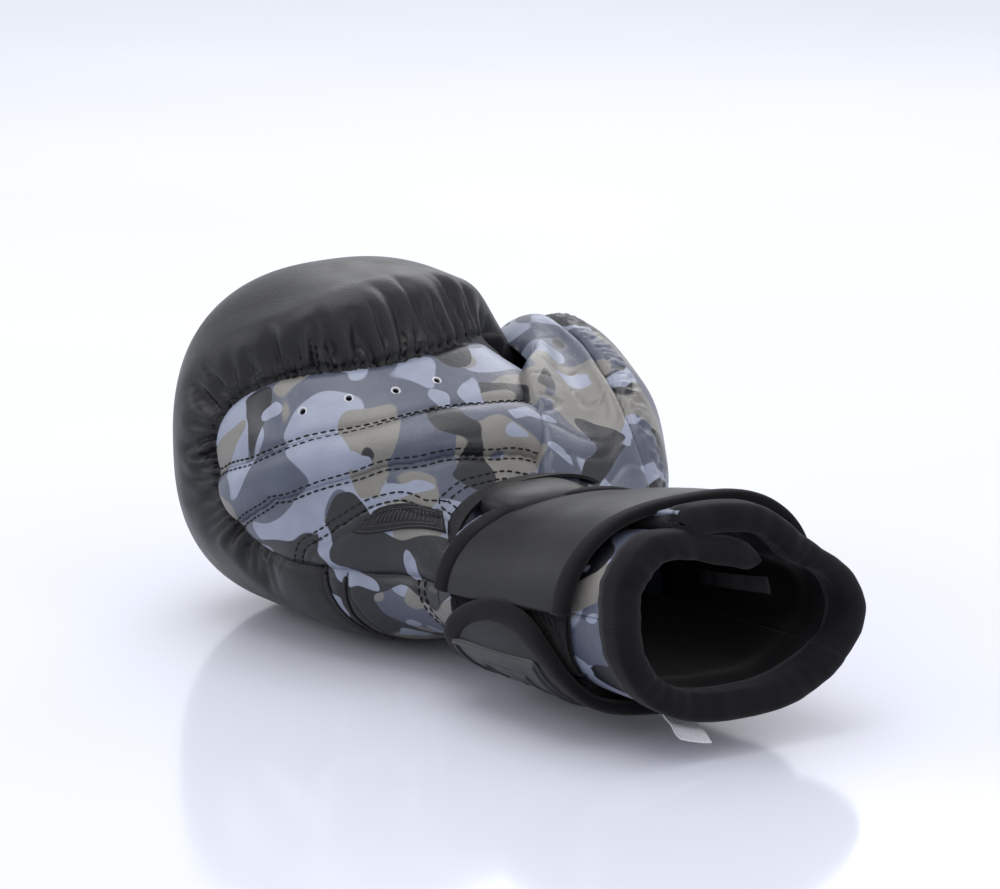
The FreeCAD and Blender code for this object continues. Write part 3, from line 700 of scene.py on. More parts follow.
flat, tris = mitt_grid()
for build in (lambda f: f.palm, palm_seam("front"), palm_seam("rear"), palm_seam("heel"),
              lambda f: np.where(f.palm < SEAM_REACH, f.piping, FAR)):
    flat, tris = split(flat, tris, build(Fields(flat)))
for k in range(len(VENTS)):
    flat, tris = split(flat, tris, vent_fields(flat)[k] - VENT_RADIUS)
fields = Fields(flat)
mitt_points = finished(flat, fields)
mitt_out = mitt_normal(flat)
middle = {name: getattr(fields, name)[tris].mean(1) for name in ("palm", "front", "rear", "heel", "piping")}
in_vent = np.any([v[tris].mean(1) < VENT_RADIUS for v in vent_fields(flat)], axis=0)
behind_wrist = flat[:, 0][tris].min(1) > PANELS_END
is_palm = middle["palm"] > 0
PANELS = {
    "outer_shell": (~is_palm & (middle["piping"] < 0), BLACK, "black_leather"),
    "palm_finger_panel": (is_palm & (middle["front"] < 0) & ~in_vent, CAMO, "camo_leather"),
    "grip_bar_panel": (is_palm & (middle["front"] > 0) & (middle["rear"] < 0), CAMO, "camo_leather"),
    "palm_center_panel": (is_palm & (middle["rear"] > 0) & (middle["heel"] < 0), CAMO, "camo_leather"),
    "palm_heel_panel": (is_palm & (middle["rear"] > 0) & (middle["heel"] > 0), CAMO, "camo_leather"),
}
wrist = ~is_palm & (middle["piping"] > 0)
thumb_half = on_mitt(*flat.T)[:, 1][tris].mean(1) > -10
PANELS["wrist_back_panel"] = (wrist & ~thumb_half, CAMO, "camo_leather")
PANELS["wrist_side_panel"] = (wrist & thumb_half, CAMO, "camo_leather")
for name, (chosen, look, slot) in PANELS.items():
    (p, n), f = submesh((mitt_points, mitt_out), tris, chosen & ~behind_wrist)
    piece(f"{name}_leather", *thick(p, f, n, LEATHER_DEEP), look, slot, name)

mitt_tree = BVHTree.FromPolygons(mitt_points.tolist(), tris.tolist())


def settle(points, outward, tree, lift=0.0, reach=18.0):
    """Points moved onto a surface along outward, and the surface's own normals there."""
    placed, facing = [], []
    for p, n in zip(points, outward):
        hit, normal, _, _ = tree.ray_cast(Vector(p + n * reach), Vector(-n), 2 * reach)
        if hit is None:
            hit, normal, _, _ = tree.find_nearest(Vector(p))
        if normal.dot(Vector(n)) < 0:
            normal = -normal
        placed.append(np.array(hit) + np.array(normal) * lift)
        facing.append(np.array(normal))
    return np.array(placed), np.array(facing)


ASKEW = (0.123, 0.456, 0.789)   # a direction that no line here runs along


def capped_sweep(rings):
    """A closed solid through rings of equal point counts, with a flat cap at each end."""
    rows, sides = len(rings), len(rings[0])
    faces = grid_faces(rows, sides, wrap=True).tolist()
    last = (rows - 1) * sides
    return np.vstack(rings), faces + [list(range(sides))[::-1], list(range(last, last + sides))]


def on_leather(place, lift):
    """Points and normals on the finished mitt at flat places, lifted off it."""
    return settle(on_mitt(*place.T), mitt_normal(place), mitt_tree, lift)


def tube(line, radius, sides=8, taper=0.0):
    """A closed round tube along a line; taper rounds its ends over that length."""
    line = np.asarray(line, float)
    along = unit(np.gradient(line, axis=0))
    side = unit(np.cross(along, ASKEW))
    up = np.cross(side, along)
    turn = np.linspace(0, TURN, sides, endpoint=False)
    size = np.broadcast_to(radius, (len(line),)).astype(float).copy()
    if taper:
        length = arc(line)
        size *= np.sqrt(np.clip(np.minimum(length, length[-1] - length) / taper, 0.06, 1))
    ring = np.cos(turn)[None, :, None] * side[:, None] + np.sin(turn)[None, :, None] * up[:, None]
    return capped_sweep(line[:, None] + ring * size[:, None, None])


def joined(parts):
    """One mesh from several (points, faces)."""
    points, faces, start = [], [], 0
    for p, f in parts:
        points.append(p)
        faces += [[k + start for k in face] for face in f]
        start += len(p)
    return np.vstack(points), faces


STITCH, STITCH_GAP, THREAD_RADIUS = 2.5, 0.8, 0.36


def stitch_row(line, normals, pitch=STITCH + STITCH_GAP):
    """Separate stitches along a line that lies on a surface with those normals."""
    along = arc(line)
    parts = []
    for start in np.arange(pitch / 2, along[-1] - pitch, pitch):
        where = start + np.linspace(0, STITCH, 6)
        lift = 0.28 * np.sin(np.linspace(0.1, 0.9, 6) * math.pi) - 0.12
        spot = np.stack([np.interp(where, along, line[:, k]) for k in range(3)], 1)
        out = np.stack([np.interp(where, along, normals[:, k]) for k in range(3)], 1)
        wander = rng.normal(0, 0.06, 3)
        parts.append(tube(spot + out * lift[:, None] + wander, THREAD_RADIUS, 6, 0.5))
    return parts


def rows_beside(curve, offsets, keep):
    """Stitch rows on the mitt beside a seam's flat curve, where keep is true of their flat places."""
    flat_curve, space_curve = curve
    normal = mitt_normal(flat_curve)
    along = np.gradient(space_curve, axis=0)
    side = unit(np.cross(normal, along))
    parts = []
    for offset in offsets:
        line = resample(np.hstack([space_curve + side * offset, normal]), 0.7)
        kept = keep(flat_place(line[:, :3]))
        for run in np.split(np.arange(len(line)), np.flatnonzero(np.diff(kept.astype(int))) + 1):
            if kept[run[0]] and len(run) > 8:
                spot, out = settle(line[run, :3], line[run, 3:], mitt_tree)
                parts += stitch_row(spot, out)
    return parts


def on_palm(flat, margin=-1.0):
    return side_of(flat, PALM_LOOP, ())[0] > margin


def keep_leaf(flat):
    return flat[:, 0] < 29


ROWS = {
    "grip_front_stitching": (GRIP_FRONT, (-1.5, 1.5), lambda f: on_palm(f) & (f[:, 1] > 0.9)),
    "grip_rear_stitching": (GRIP_REAR, (-1.5, 1.5), lambda f: on_palm(f) & (f[:, 1] > 0.9)),
    "palm_heel_stitching": (HEEL_SEAM, (0.4, 3.4), lambda f: on_palm(f) & (f[:, 0] < 16)),
    "slit_end_stitching": (LEAF, (-1.5, 1.5), keep_leaf),
    "wrist_back_stitching": (BACK_SEAM, (-1.5, 1.5), lambda f: ~on_palm(f, 1.0)),
}
for name, (curve, offsets, keep) in ROWS.items():
    piece(name, *joined(rows_beside(curve, offsets, keep)), THREAD, "binding", weld=False)


# ---------------------------------------------------------------- foam under the mitt's leather

FOAM_GAP, FOAM_DEEP = 0.7, 9.5

SEAM_HALF, BAR_MARGIN = 0.6, 1.0   # how far the foam keeps from the palm's seam and from the grip bar's two seams

coarse, coarse_tris = mitt_grid(3.4, 126)
for build in (lambda f: f.palm - SEAM_HALF, lambda f: f.palm + SEAM_HALF, palm_seam("front", -BAR_MARGIN),
              palm_seam("rear", BAR_MARGIN)):
    coarse, coarse_tris = split(coarse, coarse_tris, build(Fields(coarse)))
under = Fields(coarse)
coarse_out = mitt_normal(coarse)
beneath = plain_relief(under) + gather_floor(-under.palm, under.palm_place) - LEATHER_DEEP - FOAM_GAP
foam_face = on_mitt(*coarse.T) + coarse_out * beneath[:, None]
foam_face[:, 2] = np.maximum(foam_face[:, 2], 2.6)
bar = bar_height(under)
bar_face = foam_face + coarse_out * bar[:, None]
in_mitt = coarse[:, 0][coarse_tris].max(1) < WRIST_X


def foam_piece(name, face, chosen, deep):
    (p, n, d), f = submesh((face, coarse_out, np.broadcast_to(deep, (len(face),))), coarse_tris, chosen & in_mitt)
    piece(f"{name}_pad", *thick(p, f, n, d), FOAM, "foam", name, fill=1.0)


level = {name: getattr(under, name)[coarse_tris].mean(1) for name in ("palm", "front", "rear")}
in_bar = (level["front"] > BAR_MARGIN) & (level["rear"] < -BAR_MARGIN) & (bar[coarse_tris].min(1) > 0.5)
foam_piece("knuckle_foam_outer", foam_face, level["palm"] < -SEAM_HALF, FOAM_DEEP)
foam_piece("palm_foam_pad", foam_face, level["palm"] > SEAM_HALF, FOAM_DEEP)
foam_piece("grip_bar_foam", bar_face, (level["palm"] > SEAM_HALF) & in_bar, np.maximum(bar - 0.2, 0.3))


# ---------------------------------------------------------------- trim on the palm

def torus(centre, axis, radius, thickness, count=28, sides=8):
    """A closed ring."""
    axis = unit(axis)
    first = unit(np.cross(axis, (0.3, 0.9, 0.1)))
    second = np.cross(axis, first)
    around, small = np.linspace(0, TURN, count, endpoint=False), np.linspace(0, TURN, sides, endpoint=False)
    points = []
    for a in around:
        out = first * math.cos(a) + second * math.sin(a)
        points += [centre + out * (radius + thickness * math.cos(b)) + axis * thickness * math.sin(b)
                   for b in small]
    faces = []
    for i in range(count):
        for j in range(sides):
            k, m = (i + 1) % count, (j + 1) % sides
            faces.append([i * sides + j, k * sides + j, k * sides + m, i * sides + m])
    return np.array(points), faces


rims = []
for v in VENTS:
    place = flat_place([v])
    near = on_mitt(*place[0])[None] + mitt_normal(place) * (relief(Fields(place))[:, None] - 0.1)
    rims.append(torus(near[0], mitt_normal(place)[0], VENT_RADIUS + 0.1, 0.42))
piece("vent_edges", *joined(rims), EDGE, "camo_leather", weld=False)

LABEL_CORNERS = np.radians([165.0, 178.5, 146.0, 138.0])
LABEL_X = np.array([-4.0, -13.0, 21.0, 16.0])


LABEL_BULGE = math.radians(30)


def lerp(a, b, u):
    return a + (b - a) * u


def label_place(u, v):
    """(x, angle) on the palm label, u along it and v down it, both 0 to 1."""
    top_x, low_x = lerp(LABEL_X[0], LABEL_X[3], u), lerp(LABEL_X[1], LABEL_X[2], u)
    top_t, low_t = lerp(LABEL_CORNERS[0], LABEL_CORNERS[3], u), lerp(LABEL_CORNERS[1], LABEL_CORNERS[2], u)
    return np.stack([lerp(top_x, low_x, v), lerp(top_t, low_t + LABEL_BULGE * u * (1 - u), v)], -1)


u, v = np.meshgrid(np.linspace(0, 1, 52), np.linspace(0, 1, 16), indexing="ij")
place = label_place(u.ravel(), v.ravel())
spot, out = on_leather(place, 0.9)
piece("palm_label_patch", *thick(spot, triangles(grid_faces(52, 16)), out, 1.1), LABEL, "woven_label",
      "palm_label")
lines = []
for inset in (0.07, 0.2):
    loop = np.array([(inset * 0.5, inset), (1 - inset * 0.5, inset), (1 - inset * 0.5, 1 - inset),
                     (inset * 0.5, 1 - inset), (inset * 0.5, inset)])
    place = label_place(*resample(loop, 0.02).T)
    spot, out = on_leather(place, 0.95)
    lines.append(tube(spot, 0.22, 6))
for u in np.linspace(0.2, 0.8, 13):
    place = label_place(np.linspace(u - 0.02, u + 0.02, 10), np.linspace(0.3, 0.7, 10))
    spot, out = on_leather(place, 0.95)
    lines.append(tube(spot, 0.3, 6))
piece("palm_label_border", *joined(lines), RUBBER, "woven_label", weld=False)

piping_line = resample(PIPING[1], 0.8)
piping_flat = flat_place(piping_line)
keep = ~on_palm(piping_flat, -2.0) & (piping_line[:, 1] < 46)
spot, out = settle(piping_line[keep], mitt_normal(piping_flat[keep]), mitt_tree, 0.35)
piece("wrist_piping_bead", *tube(spot, 0.85, 8, 0.8), BLACK, "piping", "wrist_piping", weld=False)


# ---------------------------------------------------------------- thumb

THUMB_END = 46.0
THUMB_X = (-98, -93, -84, -70, -45, -15, 10, 24, THUMB_END)
thumb_y = monotone(THUMB_X, (63, 63, 63.5, 63.5, 60, 51, 40, 33, 20))
thumb_z = monotone(THUMB_X, (88, 88, 88, 87, 82, 71, 60, 52, 44))
wide_square = monotone(THUMB_X, (0, 150, 324, 552, 576, 576, 400, 196, 60))
tall_square = monotone(THUMB_X, (0, 160, 342, 506, 625, 729, 640, 400, 80))
RIDGE_AT, RIDGE_SLOPE = (-75.0, 66.0), math.tan(math.radians(-15.5))
thumb_back_z = monotone((-98, -60, -40, -10, 24), (72, 71, 66, 46, 26))
thumb_edge_y = monotone((-98, -60, -48, -38, -24, -16, -1, 11, 24), (40, 38, 30, 19, 5, 0, -6, -13, -20))
THUMB_HUMP = 6.5


def palm_z(x, y):
    """Height of the mitt's plain form on the palm."""
    wide, tall, middle = section(x)
    across = np.clip(np.abs(y - HAND_Y) / wide, 0, 0.999)
    return middle + tall * (1 - across ** SECTION_POWER) ** (1 / SECTION_POWER)


def on_thumb(x, t):
    """The thumb's plain form: an oval whose palm side widens into the pad that lies over the palm."""
    c, s = np.cos(t), np.sin(t)
    wide, tall = np.sqrt(wide_square(x)), np.sqrt(tall_square(x))
    y, z = thumb_y(x) + wide * c, thumb_z(x) + tall * s
    over = step(-70, -26, x) * (c < 0)
    reach = wide + (thumb_y(x) - thumb_edge_y(x) - wide) * over
    along = np.abs(c)
    y = np.where(c < 0, thumb_y(x) - reach * along, y)
    crest = thumb_z(x) + tall + 1.5
    hump = palm_z(x, y) + THUMB_HUMP - (THUMB_HUMP + 4) * step(12, 44, x)
    hump = (hump + crest - np.sqrt((hump - crest) ** 2 + 16)) / 2
    on_top = hump - (THUMB_HUMP + 9) * step(0.7, 1.0, along)
    edge = np.minimum(palm_z(x, thumb_y(x) - reach), crest + 2) - 9
    blend = step(0.05, 0.6, along)
    upper = z * (1 - blend) + on_top * blend
    lower = z + (edge - thumb_z(x)) * along ** 2
    z = z + over * (np.where(s > 0, upper, lower) - z)
    return np.stack([x + 0 * t, y, z], -1)


def mitt_depth(points):
    """About how far points stand outside the mitt's plain form, below 0 inside it."""
    wide, tall, middle = section(points[:, 0])
    y, z = np.abs(points[:, 1] - HAND_Y) / np.maximum(wide, 1), np.abs(points[:, 2] - middle) / np.maximum(tall, 1)
    return ((y ** SECTION_POWER + z ** SECTION_POWER) ** (1 / SECTION_POWER) - 1) * np.minimum(wide, tall)


def ripple(points, size, count=16, source=None):
    """A smooth random field of about one unit, with features of about size."""
    source = source or np.random.default_rng(SEED)
    total = np.zeros(len(points))
    for _ in range(count):
        direction = source.normal(size=3)
        direction *= (0.7 + 0.6 * source.random()) / np.linalg.norm(direction)
        total += np.sin(points @ direction * TURN / size + TURN * source.random())
    return total / math.sqrt(count / 2)


thumb_x = np.concatenate([THUMB_X[0] + 28 * (1 - np.cos(np.linspace(0, math.pi / 2, 46))),
                          np.linspace(THUMB_X[0] + 28, THUMB_END, 134)[1:]])
THUMB_SIDES = 170
turns = np.linspace(0, TURN, THUMB_SIDES, endpoint=False)
station, turn = (a.ravel() for a in np.meshgrid(thumb_x, turns, indexing="ij"))
thumb_tris = triangles(grid_faces(len(thumb_x), THUMB_SIDES, wrap=True))
plain = on_thumb(station, turn)
smooth_normal = vertex_normals(plain, thumb_tris)
if (smooth_normal * (plain - np.stack([station + 12, thumb_y(station), thumb_z(station)], 1))).sum() < 0:
    smooth_normal, thumb_tris = -smooth_normal, thumb_tris[:, ::-1]
smooth_normal[:THUMB_SIDES] = (-1, 0, 0)
thumb_data = np.hstack([plain, smooth_normal])


def ridge_side(p):
    """Above 0 on the thumb's outer side of its ridge seam."""
    return (p[:, 1] - RIDGE_AT[1] - RIDGE_SLOPE * (p[:, 0] - RIDGE_AT[0])) * math.cos(math.radians(15.5))


def back_side(p):
    """Height over the seam of the thumb's back panel."""
    return p[:, 2] - thumb_back_z(p[:, 0])


for value in (lambda p: np.where(back_side(p) > -2, ridge_side(p), 50), back_side,
              lambda p: mitt_depth(p) + 7.0):
    thumb_data, thumb_tris = split(thumb_data, thumb_tris, value(thumb_data[:, :3]))
plain, smooth_normal = thumb_data[:, :3], thumb_data[:, 3:]
smooth_normal = unit(smooth_normal)
ridge, above = ridge_side(plain), back_side(plain)


def thumb_relief(p):
    top = step(-2, 1, above)
    groove = -2.0 * bump(ridge, 1.5) * top - 0.8 * bump(ridge, 4.5) * top
    back_seam = -1.1 * bump(above, 1.3)
    gusset = step(1.5, 4, ridge) * (1 - step(9, 14, ridge)) * top
    wrinkles = 0.34 * gusset * ripple(p * (1.0, 0.35, 0.6), 2.6)
    face = step(2, 8, -ridge) * top
    soft = ripple(p * (1.0, 0.4, 1.0), 17.0, 12, np.random.default_rng(SEED + 2))
    creases = -0.6 * face * bump(soft, 0.2) * step(-75, -35, p[:, 0])
    swell = 0.25 * ripple(p, 34.0, 10, np.random.default_rng(SEED + 3)) * step(-96, -80, p[:, 0])
    return groove + back_seam + wrinkles + creases + swell


thumb_lift = thumb_relief(plain)
thumb_points = plain + smooth_normal * thumb_lift[:, None]
side = {"ridge": ridge[thumb_tris].mean(1), "above": above[thumb_tris].mean(1),
        "out": mitt_depth(plain)[thumb_tris].mean(1) + 7.0}
shown = side["out"] > 0
THUMB_PANELS = {
    "thumb_inner_panel": (shown & (side["above"] > 0) & (side["ridge"] < 0), CAMO, "camo_leather"),
    "thumb_outer_panel": (shown & (side["above"] > 0) & (side["ridge"] > 0), CAMO, "camo_leather"),
    "thumb_back_panel": (shown & (side["above"] < 0), BLACK, "black_leather"),
}
for name, (chosen, look, slot) in THUMB_PANELS.items():
    (p, n), f = submesh((thumb_points, smooth_normal), thumb_tris, chosen)
    piece(f"{name}_leather", *thick(p, f, n, LEATHER_DEEP), look, slot, name)
(p, n, low), f = submesh((plain, smooth_normal, np.minimum(thumb_lift, 0)), thumb_tris, shown)
pad_face = p + n * (low - LEATHER_DEEP - FOAM_GAP)[:, None]
piece("thumb_foam_pad", *thick(pad_face, f, n, 6.0), FOAM, "foam", "thumb_foam", fill=1.0)


def pillow(low, high, power=3.5, count=20):
    """A closed box with rounded edges and faces between two corners."""
    low, high = np.array(low, float), np.array(high, float)
    a, b = np.meshgrid(np.linspace(0, math.pi, count), np.linspace(0, TURN, 2 * count, endpoint=False),
                       indexing="ij")
    ball = np.stack([np.sin(a) * np.cos(b), np.sin(a) * np.sin(b), np.cos(a)], -1).reshape(-1, 3)
    ball /= (np.abs(ball) ** power).sum(1, keepdims=True) ** (1 / power)
    return (low + high) / 2 + ball * (high - low) / 2, triangles(grid_faces(count, 2 * count, wrap=True))


piece("thumb_lock_web", *pillow((-68, 22, 97), (-57, 34, 107)), KNIT, "black_leather", "thumb_lock")


# ---------------------------------------------------------------- cuff

CUFF_Y, CUFF_Z, CUFF_WIDE, CUFF_TALL, CUFF_FRONT = -15.0, 47.0, 46.0, 34.0, 25.0
SKEW, LEAN = 0.1226, 0.214


def cuff_ring(t):
    """The cuff oval's point and outward direction at angle t, 0 at the thumb's side and 90 degrees on top."""
    c, s = np.cos(t), np.sin(t)
    point = np.stack([CUFF_Y + signed_power(c, 0.8) * CUFF_WIDE,
                      CUFF_Z + signed_power(s, 0.8) * CUFF_TALL], -1)
    out = np.stack([signed_power(c, 1.2) / CUFF_WIDE, signed_power(s, 1.2) / CUFF_TALL], -1)
    return point, unit(out)


def mouth_x(y, z):
    return 134.8 + SKEW * (y - CUFF_Y) - LEAN * (z - CUFF_Z)


dip = monotone((-20, 5, 25, 37, 50, 75, 100, 122), (0, 5, 13.5, 15.5, 14, 8.5, 3.5, 0))


def waist(points):
    """The cuff's straight form drawn in on the palm's side, where the wrist is thinnest."""
    floor_z = CUFF_Z - CUFF_TALL
    above = np.maximum(points[:, 2] - floor_z, 0)
    moved = points.copy()
    moved[:, 2] -= np.minimum(above / (2 * CUFF_TALL), 1) * dip(points[:, 0])
    return moved


main_bulge = monotone((-180, -60, -30, -12, -3, 6, 16, 30, 45, 60, 75, 90, 104, 130, 160),
                      (0, 0, 2.5, 7.0, 8.5, 6.0, 1.5, -3, -4, -1.5, 2, 3.5, 4, 2, 0))
near_bulge = monotone((-100, 70, 78, 88, 105, 122, 165, 200), (-12, -12, -11, -8.5, -3.2, 0, 0, 0))


def cuff_point(back, t, out, near=False):
    """A point of the cuff wall: back from the mouth plane, at angle t, and out from the plain oval."""
    ring, away = cuff_ring(t)
    degrees = np.degrees(t)
    shape = near_bulge(degrees) if near else main_bulge((degrees + 180) % 360 - 180)
    x = mouth_x(ring[:, 0], ring[:, 1]) - back
    flare = step(86, 120, x) if not near else step(50, 112, x)
    place = ring + away * (out + shape * flare)[:, None]
    return waist(np.stack([mouth_x(place[:, 0], place[:, 1]) - back, place[:, 0], place[:, 1]], -1))


MOUTH_MARGIN = 3.0


def wall_sheet(t_from, t_to, x_from, out, near=False, x_to=None, columns=90, rows=70):
    """A sheet of the cuff wall between two angles, from station x_from to x_to or to just short of the mouth."""
    t = np.radians(np.linspace(t_from, t_to, columns))
    u = np.linspace(0, 1, rows)
    t_all, u_all = (a.ravel() for a in np.meshgrid(t, u))
    ring, _ = cuff_ring(t_all)
    whole = mouth_x(ring[:, 0], ring[:, 1])
    last = MOUTH_MARGIN if x_to is None else whole - x_to
    back = (whole - x_from) * (1 - u_all) + last * u_all
    lift = out(t_all, back) if callable(out) else np.full(len(back), float(out))
    points = cuff_point(back, t_all, lift, near)
    faces = triangles(grid_faces(rows, columns))
    normals = vertex_normals(points, faces)
    middle = np.stack([points[:, 0], np.full(len(points), CUFF_Y), np.full(len(points), CUFF_Z)], 1)
    if (normals * (points - middle)).sum() < 0:
        normals, faces = -normals, faces[:, ::-1]
    return points, faces, normals


FLAP_HINGE = ("root", "cuff_flap", (0.095, 0.0335, 0.0500), (0.095, 0.0265, 0.0730))
SLIT_X = 59.0
# Each wall of the cuff: its angles and first station, whether it is on the near side of the slit, its joint, and
# its word in the node's name.
WALLS = {"back": ((177.0, 330.0, CUFF_FRONT), False, None, "back_"),
         "near": ((79.0, 176.8, SLIT_X), True, None, "palm_"),
         "flap": ((-30.0, 103.0, SLIT_X), False, FLAP_HINGE, "flap_")}


def leather_face(t, back):
    return -0.1 + 0.25 * np.sin(t * 3.1 + back / 21.0) * step(4, 20, back)


def lining_face(t, back):
    """The inner face's height: a roll behind the binding and soft quilting."""
    roll = 1.8 * bump(back - 15, 7.0)
    return -6.5 - roll + 0.5 * np.sin(t * 5.0 + 0.8) * np.sin(back / 17.0)


# Each layer: its outer face's height over the plain oval, depth, material, slot, fill and last word of its nodes.
LAYERS = {"leather": (leather_face, LEATHER_DEEP, CAMO, "camo_leather", None, "shell"),
          "pad": (-1.9, 4.4, FOAM, "foam", 0.9, "foam"),
          "satin": (lining_face, 1.2, SATIN, "lining", None, "lining")}
for layer, (out, deep, look, slot, fill, word) in LAYERS.items():
    for wall, (span, near, hinge, part) in WALLS.items():
        node = f"cuff_{part}{word}".replace("cuff_back_lining", "cuff_lining")
        piece(f"cuff_{wall}_{layer}", *thick(*wall_sheet(*span, out, near), deep), look, slot, node, fill, hinge)

piece("slit_reinforcement_leather", *thick(*wall_sheet(-30.5, 176.5, CUFF_FRONT, -0.6, x_to=66.0), 1.6), CAMO,
      "camo_leather", "slit_reinforcement")
piece("slit_tongue_pad", *pillow((17, -42, 61), (46, -1, 74), 2.8), SATIN, "lining", "slit_tongue")


def small_label(name, node, t_from, t_to, back_from, back_to, out_from, out_to, look):
    """A thin cloth label on the cuff wall, standing off by out_from at back_from and by out_to at back_to."""
    t, back = (a.ravel() for a in np.meshgrid(np.radians(np.linspace(t_from, t_to, 24)),
                                              np.linspace(back_from, back_to, 16)))
    out = out_from + (out_to - out_from) * (back - back_from) / (back_to - back_from)
    points = cuff_point(back, t, out + 0.3 * np.sin(back * 0.9 + t * 9))
    faces = triangles(grid_faces(16, 24))
    piece(name, *thick(points, faces, vertex_normals(points, faces), 0.45), look, "paper_label", node)


small_label("care_label_cloth", "care_label", -118, -103, -1.5, 9.5, 7.5, 1.2, PAPER)
small_label("size_label_cloth", "size_label", -6, 1, 34, 66, -8.8, -9.4, GREY_LABEL)


def binding_profile():
    """A U that wraps the mouth's edge, as (back, out) points."""
    inner, outer, deep, thickness, nose = -8.9, 1.3, 9.0, 1.5, 3.4
    mid, half = (inner + outer) / 2, (outer - inner) / 2
    turn = np.linspace(0, math.pi, 13)
    over = [(-nose * math.sin(a), mid + half * math.cos(a)) for a in turn]
    under = [(thickness - (nose - 0.2) * math.sin(a), mid + (half - thickness) * math.cos(a)) for a in turn[::-1]]
    return np.array([(deep, outer - 0.5), (deep * 0.6, outer + 0.1)] + over
                    + [(deep * 0.6, inner - 0.1), (deep, inner + 0.5)]
                    + [(deep, inner + thickness), (deep * 0.5, inner + thickness)] + under
                    + [(deep * 0.5, outer - thickness), (deep, outer - thickness)])


def mouth_binding(t_from, t_to, near=False, round_from=0.0, round_to=0.0):
    """A length of the mouth's binding between two angles; its ends close to a point over round_from and round_to."""
    profile = binding_profile()
    centre = profile.mean(0)
    degrees = np.linspace(t_from, t_to, 150)
    rings = []
    for place in degrees:
        size = 1.0
        for end, reach in ((t_from, round_from), (t_to, round_to)):
            if reach:
                size = min(size, math.sqrt(max(0.02, 1 - max(0, 1 - abs(place - end) / reach) ** 2)))
        spot = centre + (profile - centre) * (1, size)
        wave = 0.25 * math.sin(place * 0.21) + 0.15 * math.sin(place * 0.57)
        t = np.full(len(spot), math.radians(place))
        rings.append(cuff_point(spot[:, 0] + wave, t, spot[:, 1] + 0.3 * wave, near))
    return capped_sweep(rings)


piece("mouth_binding_knit", *joined([mouth_binding(176.0, 331.0), mouth_binding(76.0, 177.5, True, 9.0)]), KNIT,
      "binding", "mouth_binding")
piece("cuff_flap_binding_knit", *mouth_binding(-30.0, 104.0, False, 0, 7.0), KNIT, "binding", "cuff_flap_binding",
      fold=FLAP_HINGE)


# ---------------------------------------------------------------- strap

STRAP_X, STRAP_HALF, STRAP_IN, STRAP_DEEP = 75.0, 38.0, 2.6, 2.8
BEAD_WIDE = 4.2


def strap_point(t, across, out):
    """A point of the strap: angle round the cuff, place across its width, and height over its inner face."""
    ring, away = cuff_ring(t)
    place = ring + away * (STRAP_IN + out)[:, None]
    return waist(np.stack([STRAP_X + SKEW * (place[:, 0] - CUFF_Y) + across, place[:, 0], place[:, 1]], -1))


def even_turns(t_from, t_to, spacing=1.2):
    """Angles evenly spaced along the strap's path."""
    fine = np.radians(np.linspace(t_from, t_to, 800))
    line = strap_point(fine, np.zeros(800), np.full(800, STRAP_DEEP / 2))
    along = arc(line)
    count = int(along[-1] / spacing) + 2
    return np.interp(np.linspace(0, along[-1], count), along, fine), along[-1]


def rounded(width, low, high, corner=1.2, puff=0.0, count=26):
    """A flat rounded cross-section: (across, out) points, puffed up a little on its outer face."""
    across = np.cos(np.linspace(0, math.pi, count)) * (width - corner)
    edge = np.linspace(math.pi / 2, -math.pi / 2, 7)[1:-1]
    mid, half = (low + high) / 2, (high - low) / 2
    top = np.stack([across, high + puff * (1 - (across / width) ** 2)], 1)
    left = np.stack([-(width - corner) - corner * np.cos(edge), mid + half * np.sin(edge)], 1)
    bottom = np.stack([across[::-1], np.full(count, low)], 1)
    right = np.stack([(width - corner) + corner * np.cos(edge), mid - half * np.sin(edge)], 1)
    return np.vstack([top, left, bottom, right])


def strap_sweep(turns, profile, drift):
    """A cross-section swept along the strap's path, lifted by drift at each angle."""
    return capped_sweep([strap_point(np.full(len(profile), t), profile[:, 0], profile[:, 1] + extra)
                         for t, extra in zip(turns, drift)])


def bead_profile(side):
    """The strap's rounded edge on one side, as (across, out) points."""
    wide, low, high = BEAD_WIDE, -0.7, 4.1
    turn = np.linspace(0, TURN, 22, endpoint=False)
    mid, half = (low + high) / 2, (high - low) / 2
    c, s = np.cos(turn), np.sin(turn)
    return np.stack([side * (STRAP_HALF - wide + 0.4) + wide * signed_power(c, 0.75),
                     mid + half * signed_power(s, 0.75)], 1)


def strap_part(name, t_from, t_to, look, slot, node, profiles, hinge):
    """A length of the strap or of its two bead edges, with a slight wave along it."""
    turns, _ = even_turns(t_from, t_to)
    wave = 0.25 * np.sin(turns * 6.0 + 1.0)
    piece(name, *joined([strap_sweep(turns, p, wave) for p in profiles]), look, slot, node, fold=hinge)


WEB = rounded(STRAP_HALF - 4.5, 0.2, STRAP_DEEP, puff=0.9)
BEADS = [bead_profile(-1), bead_profile(1)]
ANCHOR = ("root", "strap_upper", (0.075, -0.0665, 0.0500), (0.075, -0.0600, 0.0620))
THUMB_HINGE = ("strap_upper", "strap_lower", (0.075, 0.0370, 0.0425), (0.075, 0.0360, 0.0310))
TAB_HINGE = ("strap_lower", "strap_tab", (0.075, -0.0280, 0.0080), (0.075, -0.0390, 0.0090))
strap_part("strap_palm_web", 176.8, 5.0, STRAP, "strap_leather", "strap_palm_section", [WEB], ANCHOR)
strap_part("strap_palm_knit", 176.8, 5.0, KNIT, "binding", "strap_palm_binding", BEADS, ANCHOR)
strap_part("strap_back_web", 5.3, -101.0, STRAP, "strap_leather", "strap_back_section", [WEB], THUMB_HINGE)
strap_part("strap_back_knit", 5.3, -101.0, KNIT, "binding", "strap_back_binding", BEADS, THUMB_HINGE)

